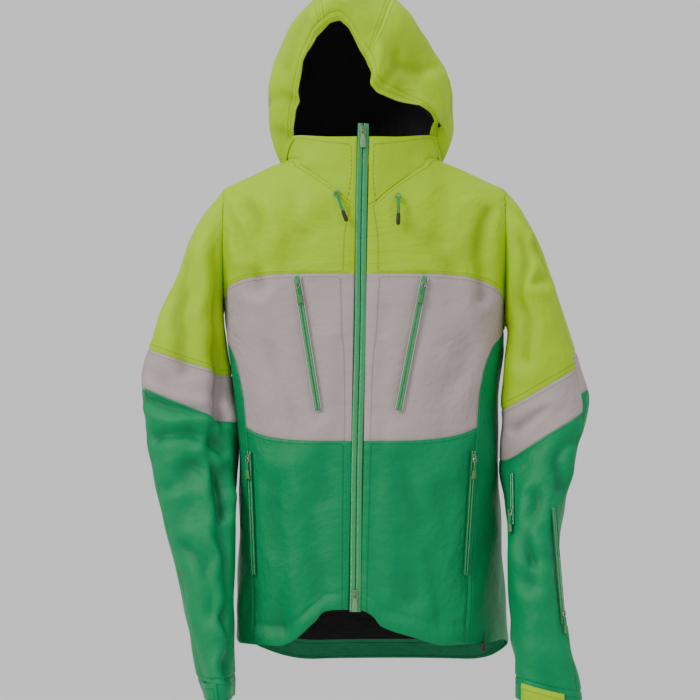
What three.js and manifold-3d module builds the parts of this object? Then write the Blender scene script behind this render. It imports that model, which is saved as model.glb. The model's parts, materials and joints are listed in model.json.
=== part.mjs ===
// A hooded ski jacket, zipped up and hanging by the loop at the back of its neck.
// Units are millimetres. +Z is up, the front faces -Y and the wearer's left side is +X.
// The origin is the middle of the flat underside of the hang loop.
import * as THREE from "three";
import { mergeVertices } from "three/addons/utils/BufferGeometryUtils.js";
import Module from "manifold-3d";

const wasm = await Module();
wasm.setup();

// Body: heights are measured from the hang loop, downwards as drops.
const NECK_DROP = 22;
const SHOULDER_DROP = 73;
const UNDERARM_DROP = 262;
const BODY_DROP = 732;
const FRONT_HEM_RISE = 50;
const BACK_HEM_FALL = 44;
const NECK_HALF_WIDTH = 112;
const CHEST_HALF_WIDTH = 207;
const WAIST_HALF_WIDTH = 190;
const HEM_HALF_WIDTH = 196;
const SHOULDER_OVERHANG = 23;
const NECK_HALF_DEPTH = 62;
const CHEST_HALF_DEPTH = 105;
const HEM_HALF_DEPTH = 108;
const NECK_FRONT_Y = -114;
const FRONT_SLOPE = 0.054;
const BODY_LEAN = 0.018;
const BODY_TURN = 30;
const YOKE_DROP = 193;
const YOKE_SIDE_FALL = 62;
const CHEST_BAND_DROP = 436;
const CHEST_BAND_SIDE_RISE = 60;

// Cloth
const SHELL_THICKNESS = 3;
const LINING_THICKNESS = 1.4;
const LINING_GAP = 4.5;
const LINING_SAG = 11;
const SEAM_GAP = 0.7 * SHELL_THICKNESS;
const PIECE_GAP = 0.6;

// Collar and hood
const COLLAR_RISE = 28;
const COLLAR_BACK_RISE = 8;
const HOOD_HEIGHT = 239;
const HOOD_HALF_WIDTH = 155;
const HOOD_BASE_HALF_WIDTH = 128;
const HOOD_BASE_HALF_DEPTH = 70;
const FACE_HALF_WIDTH = 112;
const FACE_HEIGHT = 174;
const HOOD_TILT_X = -12;
const BRIM_SHARE = 0.08;
const CENTRE_STRIP = 0.12;

// Sleeves
const SLEEVE_BODY_GAP = 6;
const ARMHOLE_GAP = 1.5;
const SLEEVE_BEND = 125;
const TAB_LENGTH = 58;
const TAB_WIDTH = 24;
const TAB_THICKNESS = 2.4;
const TAB_CLEARANCE = 1.5;
const TAB_START = { right: 90, left: 140 };

// Zips
const ZIP_TOP = 26;
const TAPE_WIDTH = 8;
const TAPE_GAP = 1.6;
const TAPE_THICKNESS = 1.2;
const ZIP_SLOT_HALF = TAPE_GAP / 2 + TAPE_WIDTH + PIECE_GAP;
const FLAP_WIDTH = 30;
const MAIN_SLIDER = { width: 9, length: 18, plate: 1.6, puller: 26 };
const SMALL_SLIDER = { width: 6.4, length: 12, plate: 1.3, puller: 30 };
const BRIDGE_RISE = 2.6;
const BRIDGE_LENGTH = 7;
const EYE_WIDTH = 3.4;
const EYE_BAR = 1.4;

// Cords and loop
const CORD_DIAMETER = 3;
const CORD_END_DIAMETER = 6;
const CORD_END_LENGTH = 15;
const LOOP_SPAN = 46;
const LOOP_THICKNESS = 2;
const LOOP_OPENING = 12;

const LIME = 0xa3bb03;
const GREY = 0xaa9c9c;
const GREEN = 0x128a55;
const ZIP_GREEN = 0x10893c;
const PULLER_GREEN = 0x4f8a46;
const BLACK = 0x0d0f0d;

const jacket = new THREE.Group();
const radians = THREE.MathUtils.degToRad;

function smooth(value) {
  const v = THREE.MathUtils.clamp(value, 0, 1);
  return v * v * (3 - 2 * v);
}

// A smooth value at `at` through hand-chosen [place, value] stations, level beyond both ends.
function through(stations, at) {
  const last = stations.length - 1;
  if (at <= stations[0][0]) return stations[0][1];
  if (at >= stations[last][0]) return stations[last][1];
  const i = stations.findIndex(([place]) => place > at) - 1;
  const slope = (j) => {
    if (j === 0 || j === last) return 0;
    const [before, after] = [stations[j - 1], stations[j + 1]];
    return (after[1] - before[1]) / (after[0] - before[0]);
  };
  const [[x0, y0], [x1, y1]] = [stations[i], stations[i + 1]];
  const h = x1 - x0;
  const k = (at - x0) / h;
  return (
    y0 * (1 + 2 * k) * (1 - k) ** 2 +
    y1 * k * k * (3 - 2 * k) +
    slope(i) * h * k * (1 - k) ** 2 -
    slope(i + 1) * h * k * k * (1 - k)
  );
}

function material(colour, roughness = 0.75, metalness = 0) {
  return new THREE.MeshStandardMaterial({ color: colour, roughness, metalness });
}

function place(name, geometry, colour, parent = jacket, roughness = 0.75, metalness = 0) {
  const mesh = new THREE.Mesh(geometry, material(colour, roughness, metalness));
  mesh.name = name;
  parent.add(mesh);
  return mesh;
}

function welded(geometry) {
  const plain = geometry.clone();
  plain.deleteAttribute("normal");
  plain.deleteAttribute("uv");
  return mergeVertices(plain, 1e-4);
}

function solid(geometry) {
  const merged = welded(geometry);
  return new wasm.Manifold(
    new wasm.Mesh({
      numProp: 3,
      vertProperties: merged.attributes.position.array,
      triVerts: new Uint32Array(merged.index.array),
    }),
  );
}

function fromSolid(shape) {
  const mesh = shape.getMesh();
  const geometry = new THREE.BufferGeometry();
  geometry.setAttribute("position", new THREE.BufferAttribute(mesh.vertProperties, 3));
  geometry.setIndex(new THREE.BufferAttribute(mesh.triVerts, 1));
  geometry.computeVertexNormals();
  return geometry;
}

function boxAt(width, depth, height, x, y, z) {
  return new THREE.BoxGeometry(width, depth, height).translate(x, y, z);
}

// A thin closed sheet. at(s, t, inside) gives its points: s runs to the right and t downwards
// as seen from outside, and inside is 0 on the outer face and 1 on the inner one.
function sheet(at, columns, rows) {
  const geometry = welded(new THREE.BoxGeometry(1, 1, 1, columns, rows, 1));
  const positions = geometry.attributes.position;
  for (let i = 0; i < positions.count; i++) {
    const s = positions.getX(i) + 0.5;
    const t = 0.5 - positions.getY(i);
    const p = at(s, t, 0.5 - positions.getZ(i));
    positions.setXYZ(i, p.x, p.y, p.z);
  }
  geometry.computeVertexNormals();
  return geometry;
}

// A thin closed tube. at(turn, t, inside) gives its points: turn goes once round in radians.
function tube(at, around, rows) {
  const outer = Array.from({ length: rows + 1 }, (_, i) => new THREE.Vector2(2, i / rows));
  const inner = outer.map((p) => new THREE.Vector2(1, p.y)).reverse();
  const profile = [...outer, ...inner, outer[0].clone()];
  const geometry = welded(new THREE.LatheGeometry(profile, around));
  const positions = geometry.attributes.position;
  for (let i = 0; i < positions.count; i++) {
    const [x, z] = [positions.getX(i), positions.getZ(i)];
    const p = at(Math.atan2(x, z), 1 - positions.getY(i), 2 - Math.hypot(x, z));
    positions.setXYZ(i, p.x, p.y, p.z);
  }
  geometry.computeVertexNormals();
  return geometry;
}

// ---------------------------------------------------------------- body

const ARMHOLE_X = CHEST_HALF_WIDTH + 1;
const SHOULDER_HALF_WIDTH = CHEST_HALF_WIDTH + SHOULDER_OVERHANG;
const WAIST_DROP = (UNDERARM_DROP + BODY_DROP) / 2 - 62;
const LONGEST_DROP = BODY_DROP + BACK_HEM_FALL;

const halfWidth = [
  [-LONGEST_DROP, HEM_HALF_WIDTH],
  [-WAIST_DROP, WAIST_HALF_WIDTH],
  [-UNDERARM_DROP, CHEST_HALF_WIDTH],
  [-(SHOULDER_DROP + 67), SHOULDER_HALF_WIDTH - 4],
  [-(SHOULDER_DROP + 22), SHOULDER_HALF_WIDTH],
  [-SHOULDER_DROP, SHOULDER_HALF_WIDTH - 8],
  [-(SHOULDER_DROP - 16), (SHOULDER_HALF_WIDTH + NECK_HALF_WIDTH) / 2 + 18],
  [-(NECK_DROP + 16), (SHOULDER_HALF_WIDTH + NECK_HALF_WIDTH) / 2 - 24],
  [-NECK_DROP, NECK_HALF_WIDTH],
];
const halfDepth = [
  [-LONGEST_DROP, HEM_HALF_DEPTH],
  [-WAIST_DROP, CHEST_HALF_DEPTH - 5],
  [-UNDERARM_DROP, CHEST_HALF_DEPTH],
  [-(SHOULDER_DROP + 67), CHEST_HALF_DEPTH - 13],
  [-SHOULDER_DROP, NECK_HALF_DEPTH + 12],
  [-NECK_DROP, NECK_HALF_DEPTH],
];
// How square a level section is: 1 is a diamond, 2 an ellipse, more is squarer.
const squareness = [
  [-LONGEST_DROP, 2.5],
  [-UNDERARM_DROP, 2.9],
  [-(SHOULDER_DROP + 67), 3],
  [-(SHOULDER_DROP + 22), 2.2],
  [-SHOULDER_DROP, 1.6],
  [-(NECK_DROP + 20), 1.6],
  [-NECK_DROP, 2.2],
];

const frontY = (z) => NECK_FRONT_Y + FRONT_SLOPE * z;
const zipX = (z) => BODY_LEAN * z;
const turnAt = (z) => (BODY_TURN * THREE.MathUtils.clamp(-z - NECK_DROP, 0, BODY_DROP)) / BODY_DROP;
const armholeShift = zipX(-UNDERARM_DROP / 2) + turnAt(-UNDERARM_DROP / 2);

// The body's surface at angle u (degrees from the front middle towards the wearer's left) and
// height z, set in from the outer face by inset. The front middle is one straight line.
function bodyPoint(u, z, inset = 0) {
  const power = 2 / through(squareness, z);
  const [s, c] = [Math.sin(radians(u)), Math.cos(radians(u))];
  const across = Math.sign(s) * Math.abs(s) ** power;
  const ahead = Math.sign(c) * Math.abs(c) ** power;
  const depth = through(halfDepth, z);
  return new THREE.Vector3(
    zipX(z) + turnAt(z) * (1 - ahead) + (through(halfWidth, z) - inset) * across,
    frontY(z) + depth - (depth - inset) * ahead,
    z,
  );
}

// The angle at which the body's front reaches a distance from the zip's middle.
function angleAt(distance, z) {
  const share = THREE.MathUtils.clamp(distance / through(halfWidth, z), 0, 1);
  return THREE.MathUtils.radToDeg(Math.asin(share ** (through(squareness, z) / 2)));
}

const sideShare = (u) => 1 - Math.abs(Math.cos(radians(u)));
const yokeLine = (u) => -YOKE_DROP - YOKE_SIDE_FALL * sideShare(u) ** 1.6;
const bandLine = (u) => -CHEST_BAND_DROP + CHEST_BAND_SIDE_RISE * sideShare(u) ** 1.5;
const SIDE_TOP = -(UNDERARM_DROP + 14);
const sideSeam = [
  [-BODY_DROP, 47],
  [-(BODY_DROP - 92), 50],
  [-CHEST_BAND_DROP, 57],
  [-(UNDERARM_DROP + 84), 58],
  [-(UNDERARM_DROP + 38), 66],
  [SIDE_TOP, 82],
];
const sideAngle = (z) => through(sideSeam, z);

// The angle, at a height, at which the front (facing 1) or the back (facing -1) meets the plane
// of an armhole, or 90 where the body is narrower than that.
function armholeAngle(side, z, facing) {
  const plane = armholeShift + side * ARMHOLE_X;
  let [low, high] = [0, 90];
  for (let pass = 0; pass < 20; pass++) {
    const middle = (low + high) / 2;
    const angle = side * (facing > 0 ? middle : 180 - middle);
    if (side * (bodyPoint(angle, z).x - plane) < 0) low = middle;
    else high = middle;
  }
  return low;
}

function hemLine(u) {
  const turned = Math.abs(((u + 540) % 360) - 180);
  const front = FRONT_HEM_RISE * (1 - smooth((turned - 9) / 30));
  const back = BACK_HEM_FALL * smooth((turned - 90) / 60);
  return -BODY_DROP + front - back;
}

// How many degrees from an edge, towards the angle `inwards`, half a seam's gap reaches.
function seamAngle(edge, inwards, z) {
  const start = bodyPoint(edge, z);
  let [low, high] = [0, 12];
  for (let pass = 0; pass < 9; pass++) {
    const middle = (low + high) / 2;
    const reach = bodyPoint(edge + Math.sign(inwards - edge) * middle, z).distanceTo(start);
    if (reach < SEAM_GAP / 2) low = middle;
    else high = middle;
  }
  return high;
}

// A panel of the body between two edge angles and two level lines, each a function.
function bodyPanel(edges, levels, columns, rows, options = {}) {
  const { inset = 0, thickness = SHELL_THICKNESS, sag = 0 } = options;
  return sheet(
    (s, t, inside) => {
      let z = -BODY_DROP / 2;
      let u = 0;
      for (let pass = 0; pass < 12; pass++) {
        const [u0, u1] = edges.map((edge) => edge(z));
        const from = u0 + seamAngle(u0, u1, z);
        u = from + (u1 - seamAngle(u1, u0, z) - from) * s;
        const [z0, z1] = levels.map((level) => level(u));
        z = z0 - SEAM_GAP / 2 + (z1 - z0 + SEAM_GAP) * t;
      }
      const point = bodyPoint(u, z, inset + thickness * inside);
      point.z -= (sag + 0.5 * thickness * inside) * smooth((z + UNDERARM_DROP) / 120);
      return point;
    },
    columns,
    rows,
  );
}

// The part of a lining that lies between the two armholes.
function betweenArmholes(geometry) {
  const room = boxAt(2 * (ARMHOLE_X - LINING_GAP), 1000, 2000, armholeShift, 0, 0);
  return fromSolid(solid(geometry).intersect(solid(room)));
}

const level = (z) => () => z;
const zipEdge = (side) => (z) => side * angleAt(ZIP_SLOT_HALF, z);
const neckLine = level(-NECK_DROP);

function addBody() {
  for (const [label, side] of [["right", -1], ["left", 1]]) {
    const ordered = (a, b) => (side > 0 ? [a, b] : [b, a]);
    const toZip = zipEdge(side);
    const toSide = (z) => side * sideAngle(z);
    const front = ordered(toZip, (z) => side * armholeAngle(side, z, 1));
    const half = ordered(toZip, toSide);
    const flank = ordered(toSide, (z) => side * (180 - sideAngle(z)));
    place("yoke_front_" + label, bodyPanel(front, [neckLine, yokeLine], 16, 14), LIME);
    place("chest_panel_" + label, bodyPanel(half, [yokeLine, bandLine], 8, 12), GREY);
    place("front_lower_" + label, bodyPanel(half, [bandLine, hemLine], 8, 8), GREEN);
    place("side_panel_" + label, bodyPanel(flank, [level(SIDE_TOP), hemLine], 6, 20), GREEN);
  }
  const shoulders = [
    (z) => 180 - armholeAngle(1, z, -1),
    (z) => 180 + armholeAngle(-1, z, -1),
  ];
  const sides = [(z) => 180 - sideAngle(z), (z) => 180 + sideAngle(z)];
  place("yoke_back", bodyPanel(shoulders, [neckLine, yokeLine], 20, 12), LIME);
  place("back_panel", bodyPanel(sides, [yokeLine, bandLine], 10, 12), GREY);
  place("back_lower", bodyPanel(sides, [bandLine, hemLine], 10, 8), GREEN);

  const inset = SHELL_THICKNESS + LINING_GAP;
  const flapEdge = FLAP_WIDTH / 2 + 3;
  const around = [(z) => angleAt(flapEdge, z), (z) => 360 - angleAt(flapEdge, z)];
  const liningLevels = [level(-NECK_DROP - 6), (u) => hemLine(u) + 34];
  const lining = bodyPanel(around, liningLevels, 28, 14, {
    inset,
    thickness: LINING_THICKNESS,
    sag: LINING_SAG,
  });
  place("body_lining", betweenArmholes(lining), BLACK);
  const facingEdges = [level(118), level(242)];
  const facingLevels = [(u) => hemLine(u) + 32, (u) => hemLine(u) + 2];
  const facing = bodyPanel(facingEdges, facingLevels, 8, 1, {
    inset,
    thickness: LINING_THICKNESS,
  });
  place("hem_facing", facing, GREEN);
}

// ---------------------------------------------------------------- collar and hood

function addCollar() {
  const top = (u) => {
    const front = COLLAR_RISE - NECK_DROP;
    return front + (COLLAR_BACK_RISE - front) * smooth((Math.abs(u) - 60) / 90);
  };
  for (const [label, side] of [["right", -1], ["left", 1]]) {
    const toZip = zipEdge(side);
    const edges = side > 0 ? [toZip, level(180)] : [level(-180), toZip];
    place(
      "collar_" + label,
      bodyPanel(edges, [top, neckLine], 12, 1),
      LIME,
    );
  }
}

const hoodBaseZ = (t) => -NECK_DROP - 1 + 30 * (1 - smooth(t / 0.3));
const hoodBaseAngle = (t) => 60 + 106 * t;
const hoodTop = [
  [0, FACE_HEIGHT],
  [0.16, HOOD_HEIGHT - 30],
  [0.4, HOOD_HEIGHT],
  [0.65, HOOD_HEIGHT - 34],
  [0.85, HOOD_HEIGHT - 140],
  [1, -NECK_DROP + 6],
];
const hoodTopY = [
  [0, -12],
  [0.16, -14],
  [0.4, 40],
  [0.65, 118],
  [0.85, 164],
  [1, 140],
];
const hoodWidth = [
  [0, FACE_HALF_WIDTH],
  [0.22, HOOD_HALF_WIDTH - 14],
  [0.45, HOOD_HALF_WIDTH],
  [0.7, HOOD_HALF_WIDTH - 12],
  [0.9, HOOD_HALF_WIDTH - 56],
  [1, HOOD_HALF_WIDTH - 92],
];

// The hood's outer surface: t runs from the face opening back to the nape and w over the head,
// from the wearer's right to the left.
function hoodSurface(t, w) {
  const [c, s] = [Math.cos(Math.PI * w), Math.sin(Math.PI * w)];
  const base = radians(hoodBaseAngle(t));
  const width = through(hoodWidth, t);
  const baseX = Math.min(HOOD_BASE_HALF_WIDTH * Math.sin(base), width);
  const baseY = frontY(0) + HOOD_BASE_HALF_DEPTH * (1 - Math.cos(base));
  const waisted = (baseX / width - 1) * (1 - s) ** 4;
  const rise = s ** 1.1;
  const baseZ = hoodBaseZ(t);
  return new THREE.Vector3(
    -width * (c + Math.sign(c) * waisted) + HOOD_TILT_X * s,
    baseY + (frontY(0) + through(hoodTopY, t) - baseY) * rise,
    baseZ + (through(hoodTop, t) - baseZ) * rise,
  );
}

// The hood at a depth under its outer surface.
function hoodPoint(t, w, inset) {
  const step = 0.01;
  const [before, after] = [Math.max(t - step, 0), Math.min(t + step, 1)];
  const [right, left] = [Math.max(w - step, 0), Math.min(w + step, 1)];
  const along = hoodSurface(after, w).sub(hoodSurface(before, w));
  const across = hoodSurface(t, left).sub(hoodSurface(t, right));
  const outward = across.cross(along).normalize();
  return hoodSurface(t, w).addScaledVector(outward, -inset);
}

function hoodPanel(w0, w1, t0, t1, columns, rows, inset = 0, thickness = SHELL_THICKNESS) {
  const trim = 0.008;
  return sheet(
    (s, t, inside) =>
      hoodPoint(
        t0 + trim + (t1 - t0 - 2 * trim) * (1 - t),
        w0 + trim + (w1 - w0 - 2 * trim) * s,
        inset + thickness * inside,
      ),
    columns,
    rows,
  );
}

function addHood() {
  const [low, high] = [0.5 - CENTRE_STRIP, 0.5 + CENTRE_STRIP];
  place("hood_side_right", hoodPanel(0, low, BRIM_SHARE, 1, 7, 9), LIME);
  place("hood_side_left", hoodPanel(high, 1, BRIM_SHARE, 1, 7, 9), LIME);
  place("hood_centre", hoodPanel(low, high, BRIM_SHARE, 1, 3, 9), LIME);
  place("hood_brim", hoodPanel(0, 1, 0, BRIM_SHARE, 16, 1), LIME);
  const inset = SHELL_THICKNESS + LINING_GAP;
  place(
    "hood_lining",
    hoodPanel(0.02, 0.98, BRIM_SHARE, 0.93, 14, 8, inset, LINING_THICKNESS),
    BLACK,
  );
}

// ---------------------------------------------------------------- sleeves

// Each ring of a sleeve runs from its inner point, beside the body, to its outer point: the
// drop of the inner point, the outer point's rise over it, the spread between them across the
// body, the half depth from front to back, and the share of the sleeve's forward bend.
const RINGS = {
  right: [
    [252, 178, 2, 60, 0],
    [266, 150, 36, 65, 0.02],
    [285, 105, 66, 67, 0.04],
    [312, 66, 97, 65, 0.07],
    [343, 41, 122, 62, 0.11],
    [413, 56, 140, 58, 0.2],
    [480, 30, 130, 57, 0.38],
    [580, 5, 98, 56, 0.62],
    [696, 0, 66, 55, 0.86],
    [770, 0, 44, 55, 1],
    [801, 0, 36, 55, 1.05],
  ],
  left: [
    [252, 180, 2, 60, 0],
    [266, 150, 36, 65, 0.02],
    [290, 108, 60, 67, 0.04],
    [325, 75, 86, 65, 0.07],
    [390, 68, 114, 62, 0.11],
    [468, 80, 128, 58, 0.2],
    [525, 50, 104, 60, 0.36],
    [590, 12, 77, 60, 0.58],
    [696, -2, 78, 54, 0.84],
    [770, -22, 90, 46, 1],
    [801, -26, 92, 44, 1.06],
  ],
};
const BAND_RING = 4;
const ELBOW_RING = 5;
const CUFF_RING = 9;
const SLEEVE_Y = frontY(-UNDERARM_DROP) + CHEST_HALF_DEPTH - 12;

// The far edge of the body at a height, seen from the front.
function bodyEdge(side, z) {
  const width = Math.min(through(halfWidth, z), ARMHOLE_X);
  return zipX(z) + turnAt(z) + side * width;
}

function sleeveRing(label, at) {
  const side = label === "left" ? 1 : -1;
  const value = (column) => through(RINGS[label].map((ring, i) => [i, ring[column]]), at);
  const innerZ = -value(0);
  const plane = armholeShift + side * (ARMHOLE_X + ARMHOLE_GAP);
  const beside = bodyEdge(side, innerZ) + side * SLEEVE_BODY_GAP;
  const innerX = THREE.MathUtils.lerp(plane, beside, smooth(at / 2));
  const outer = new THREE.Vector3(innerX + side * value(2), 0, innerZ + value(1));
  const inner = new THREE.Vector3(innerX, 0, innerZ);
  const centre = inner.clone().add(outer).multiplyScalar(0.5);
  centre.y = SLEEVE_Y - SLEEVE_BEND * value(4);
  const outward = outer.clone().sub(inner);
  const half = outward.length() / 2;
  return { centre, outward: outward.normalize(), half, depth: value(3), side };
}

// The sleeve's surface: at counts rings down the sleeve, turn is 0 on the outer side and a
// quarter turn at the front.
function sleevePoint(label, at, turn, inset = 0) {
  const { centre, outward, half, depth } = sleeveRing(label, at);
  return centre
    .clone()
    .addScaledVector(outward, (half - inset) * Math.cos(turn))
    .add(new THREE.Vector3(0, -(depth - inset) * Math.sin(turn), 0));
}

function sleeveTube(label, from, to, rows, inset = 0, thickness = SHELL_THICKNESS) {
  const side = label === "left" ? 1 : -1;
  const trim = 0.012;
  const ring = (t) => from + trim + (to - from - 2 * trim) * t;
  return tube(
    (turn, t, inside) => sleevePoint(label, ring(t), -side * turn, inset + thickness * inside),
    14,
    rows,
  );
}

function addSleeves() {
  for (const label of ["right", "left"]) {
    place("sleeve_upper_" + label, sleeveTube(label, 0, BAND_RING, 5), LIME);
    place("sleeve_band_" + label, sleeveTube(label, BAND_RING, ELBOW_RING, 1), GREY);
    place("sleeve_lower_" + label, sleeveTube(label, ELBOW_RING, CUFF_RING, 5), GREEN);
    place("cuff_" + label, sleeveTube(label, CUFF_RING, CUFF_RING + 1, 1), GREEN);
    addCuffTab(label);
  }
}

// A tab that closes the cuff: a strap on its outside, sewn on at its end nearest the body.
function addCuffTab(label) {
  const side = label === "left" ? 1 : -1;
  const ring = sleeveRing(label, CUFF_RING + 0.5);
  const reach = TAB_LENGTH / ((ring.half + ring.depth) / 2);
  const start = radians(TAB_START[label]);
  const drop = ring.centre.distanceTo(sleeveRing(label, CUFF_RING + 1).centre) * 2;
  const share = TAB_WIDTH / drop;
  const strap = sheet(
    (s, t, inside) =>
      sleevePoint(
        label,
        CUFF_RING + 0.5 + share * (t - 0.5),
        start - reach * (side > 0 ? s : 1 - s),
        -TAB_CLEARANCE - TAB_THICKNESS * (1 - inside),
      ),
    7,
    1,
  );
  place("cuff_tab_" + label, strap, label === "left" ? LIME : GREEN);
}

// ---------------------------------------------------------------- zips

// A frame on a zip: local -Z runs down the zip and local -Y points out of the cloth.
function zipFrame(top, bottom, outward) {
  const up = top.clone().sub(bottom).normalize();
  const side = new THREE.Vector3().crossVectors(outward, up).negate().normalize();
  const inward = new THREE.Vector3().crossVectors(up, side);
  const group = new THREE.Group();
  group.setRotationFromMatrix(new THREE.Matrix4().makeBasis(side, inward, up));
  group.position.copy(top);
  jacket.add(group);
  return group;
}

// A slider: a front and a back plate joined by a web that runs between the two tapes, with a
// bridge on its front for the puller.
function sliderShape({ width, length, plate }) {
  const play = 0.5;
  const channel = TAPE_THICKNESS + 2 * play;
  const frontFace = -channel / 2 - plate;
  const front = boxAt(width, plate, length, 0, -(channel + plate) / 2, 0);
  const back = boxAt(width, plate, length, 0, (channel + plate) / 2, 0);
  const web = boxAt(TAPE_GAP - 0.7, channel + plate, length * 0.7, 0, 0, 0);
  const arch = boxAt(1.8, BRIDGE_RISE + 1.2, BRIDGE_LENGTH, 0, frontFace - (BRIDGE_RISE + 0.8) / 2, 0);
  const hole = boxAt(4, BRIDGE_RISE, BRIDGE_LENGTH - 2.4, 0, frontFace - BRIDGE_RISE / 2, 0);
  return fromSolid(
    solid(front).add(solid(back)).add(solid(web)).add(solid(arch).subtract(solid(hole))),
  );
}

// A puller: a flat tab hanging from a bar that passes under the slider's bridge.
function pullerShape(width, length, thickness) {
  const outline = new THREE.Shape();
  const half = width / 2;
  outline.moveTo(-half, 1);
  outline.lineTo(-half, -length + half);
  outline.absarc(0, -length + half, half, Math.PI, 2 * Math.PI, false);
  outline.lineTo(half, 1);
  outline.lineTo(-half, 1);
  const eye = new THREE.Path();
  eye.moveTo(-EYE_WIDTH / 2, 1 - EYE_BAR);
  eye.lineTo(EYE_WIDTH / 2, 1 - EYE_BAR);
  eye.lineTo(EYE_WIDTH / 2, 1 - EYE_BAR - 5);
  eye.lineTo(-EYE_WIDTH / 2, 1 - EYE_BAR - 5);
  eye.lineTo(-EYE_WIDTH / 2, 1 - EYE_BAR);
  outline.holes.push(eye);
  const settings = { depth: thickness, bevelEnabled: false, curveSegments: 6 };
  return new THREE.ExtrudeGeometry(outline, settings)
    .translate(0, 0, -thickness / 2)
    .rotateX(Math.PI / 2);
}

function addSlider(zip, name, kind, down, colour, width) {
  const slider = place(name + "_slider", sliderShape(kind), colour, zip, 0.4, 0.3);
  slider.position.z = -down;
  const channel = TAPE_THICKNESS + 1;
  const bar = new THREE.Group();
  bar.position.set(0, -channel / 2 - kind.plate - BRIDGE_RISE / 2, -down);
  zip.add(bar);
  place(name + "_puller", pullerShape(width, kind.puller, 1.4), colour, bar, 0.4, 0.2);
}

function addMainZip() {
  const bottomZ = -BODY_DROP + FRONT_HEM_RISE;
  const at = (z, back) => new THREE.Vector3(zipX(z), frontY(z) + back, z);
  const back = TAPE_THICKNESS / 2 + 0.6;
  const zip = zipFrame(at(ZIP_TOP, back), at(bottomZ, back), new THREE.Vector3(0, -1, 0));
  const length = at(ZIP_TOP, 0).distanceTo(at(bottomZ, 0));
  for (const [label, side] of [["right", -1], ["left", 1]]) {
    const x = (side * (TAPE_GAP + TAPE_WIDTH)) / 2;
    const tape = boxAt(TAPE_WIDTH, TAPE_THICKNESS, length, x, 0, -length / 2);
    place("main_zip_tape_" + label, tape, ZIP_GREEN, zip, 0.35);
  }
  addSlider(zip, "main_upper", MAIN_SLIDER, 12, PULLER_GREEN, 7);
  addSlider(zip, "main_lower", MAIN_SLIDER, length - 24, PULLER_GREEN, 8);
  const flapLength = length - 60;
  const flap = boxAt(FLAP_WIDTH, LINING_THICKNESS, flapLength, 0, 7, -flapLength / 2 - 34);
  place("storm_flap", flap, GREEN, zip);
}

// A pocket or vent zip lying on the cloth between two of its points.
function addZip(name, top, bottom, outward, sliderDown, kind = SMALL_SLIDER) {
  const lift = TAPE_THICKNESS / 2 + kind.plate + 1.6;
  const shift = outward.clone().multiplyScalar(lift);
  const zip = zipFrame(top.clone().add(shift), bottom.clone().add(shift), outward);
  const length = top.distanceTo(bottom);
  const shape = new THREE.Shape();
  const [half, slot] = [TAPE_WIDTH - 2, TAPE_GAP / 2];
  shape.moveTo(-half, 0);
  shape.lineTo(-half, -length);
  shape.lineTo(half, -length);
  shape.lineTo(half, 0);
  shape.lineTo(-half, 0);
  const run = new THREE.Path();
  run.moveTo(-slot, -2);
  run.lineTo(slot, -2);
  run.lineTo(slot, -length + 2);
  run.lineTo(-slot, -length + 2);
  run.lineTo(-slot, -2);
  shape.holes.push(run);
  const tape = new THREE.ExtrudeGeometry(shape, { depth: TAPE_THICKNESS, bevelEnabled: false })
    .translate(0, 0, -TAPE_THICKNESS / 2)
    .rotateX(Math.PI / 2);
  place(name + "_tape", tape, ZIP_GREEN, zip, 0.35);
  addSlider(zip, name, kind, sliderDown, PULLER_GREEN, 5.6);
}

function outwardAt(point) {
  const step = 0.5;
  const here = point(0, 0);
  const across = point(step, 0).sub(here);
  const along = point(0, step).sub(here);
  return across.cross(along).normalize();
}

const CHEST_ZIP = { topDrop: 197, bottomDrop: 392, topReach: 93, bottomReach: 58 };
const HAND_ZIP = { topDrop: 452, bottomDrop: 632 };

function addBodyZips() {
  for (const [label, side] of [["right", -1], ["left", 1]]) {
    const chest = (drop, reach) => bodyPoint(side * angleAt(reach, -drop), -drop);
    const chestTop = chest(CHEST_ZIP.topDrop, CHEST_ZIP.topReach);
    const chestBottom = chest(CHEST_ZIP.bottomDrop, CHEST_ZIP.bottomReach);
    const middle = -(CHEST_ZIP.topDrop + CHEST_ZIP.bottomDrop) / 2;
    const reach = (CHEST_ZIP.topReach + CHEST_ZIP.bottomReach) / 2;
    const centre = side * angleAt(reach, middle);
    const out = outwardAt((du, dz) => bodyPoint(centre + du, middle + dz));
    addZip("chest_zip_" + label, chestTop, chestBottom, out, 10);

    const hand = (drop) => bodyPoint(side * (sideAngle(-drop) - 2.4), -drop);
    const handMiddle = -(HAND_ZIP.topDrop + HAND_ZIP.bottomDrop) / 2;
    const angle = side * (sideAngle(handMiddle) - 2.4);
    const handOut = outwardAt((du, dz) => bodyPoint(angle + du, handMiddle + dz));
    addZip("hand_zip_" + label, hand(HAND_ZIP.topDrop), hand(HAND_ZIP.bottomDrop), handOut, 10);
  }
}

// Two zips on the wearer's left forearm: a short vent and the pocket beside it. Each is given
// by the rings and the turns from the outer side of its two ends, and its slider's place.
const FOREARM_ZIPS = {
  sleeve_vent_zip: { rings: [5.4, 6.6], turns: [140, 140], down: 62 },
  sleeve_pocket_zip: { rings: [6.5, 8], turns: [65, 44], down: 150 },
};

function addForearmZips() {
  for (const [name, { rings, turns, down }] of Object.entries(FOREARM_ZIPS)) {
    const [top, bottom] = rings.map((ring, i) => sleevePoint("left", ring, radians(turns[i])));
    const [ring, turn] = [(rings[0] + rings[1]) / 2, (turns[0] + turns[1]) / 2];
    const out = outwardAt((du, dz) =>
      sleevePoint("left", ring - dz / 100, radians(turn - du)),
    );
    addZip(name, top, bottom, out, down);
  }
}

// ---------------------------------------------------------------- cords and hang loop

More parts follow.
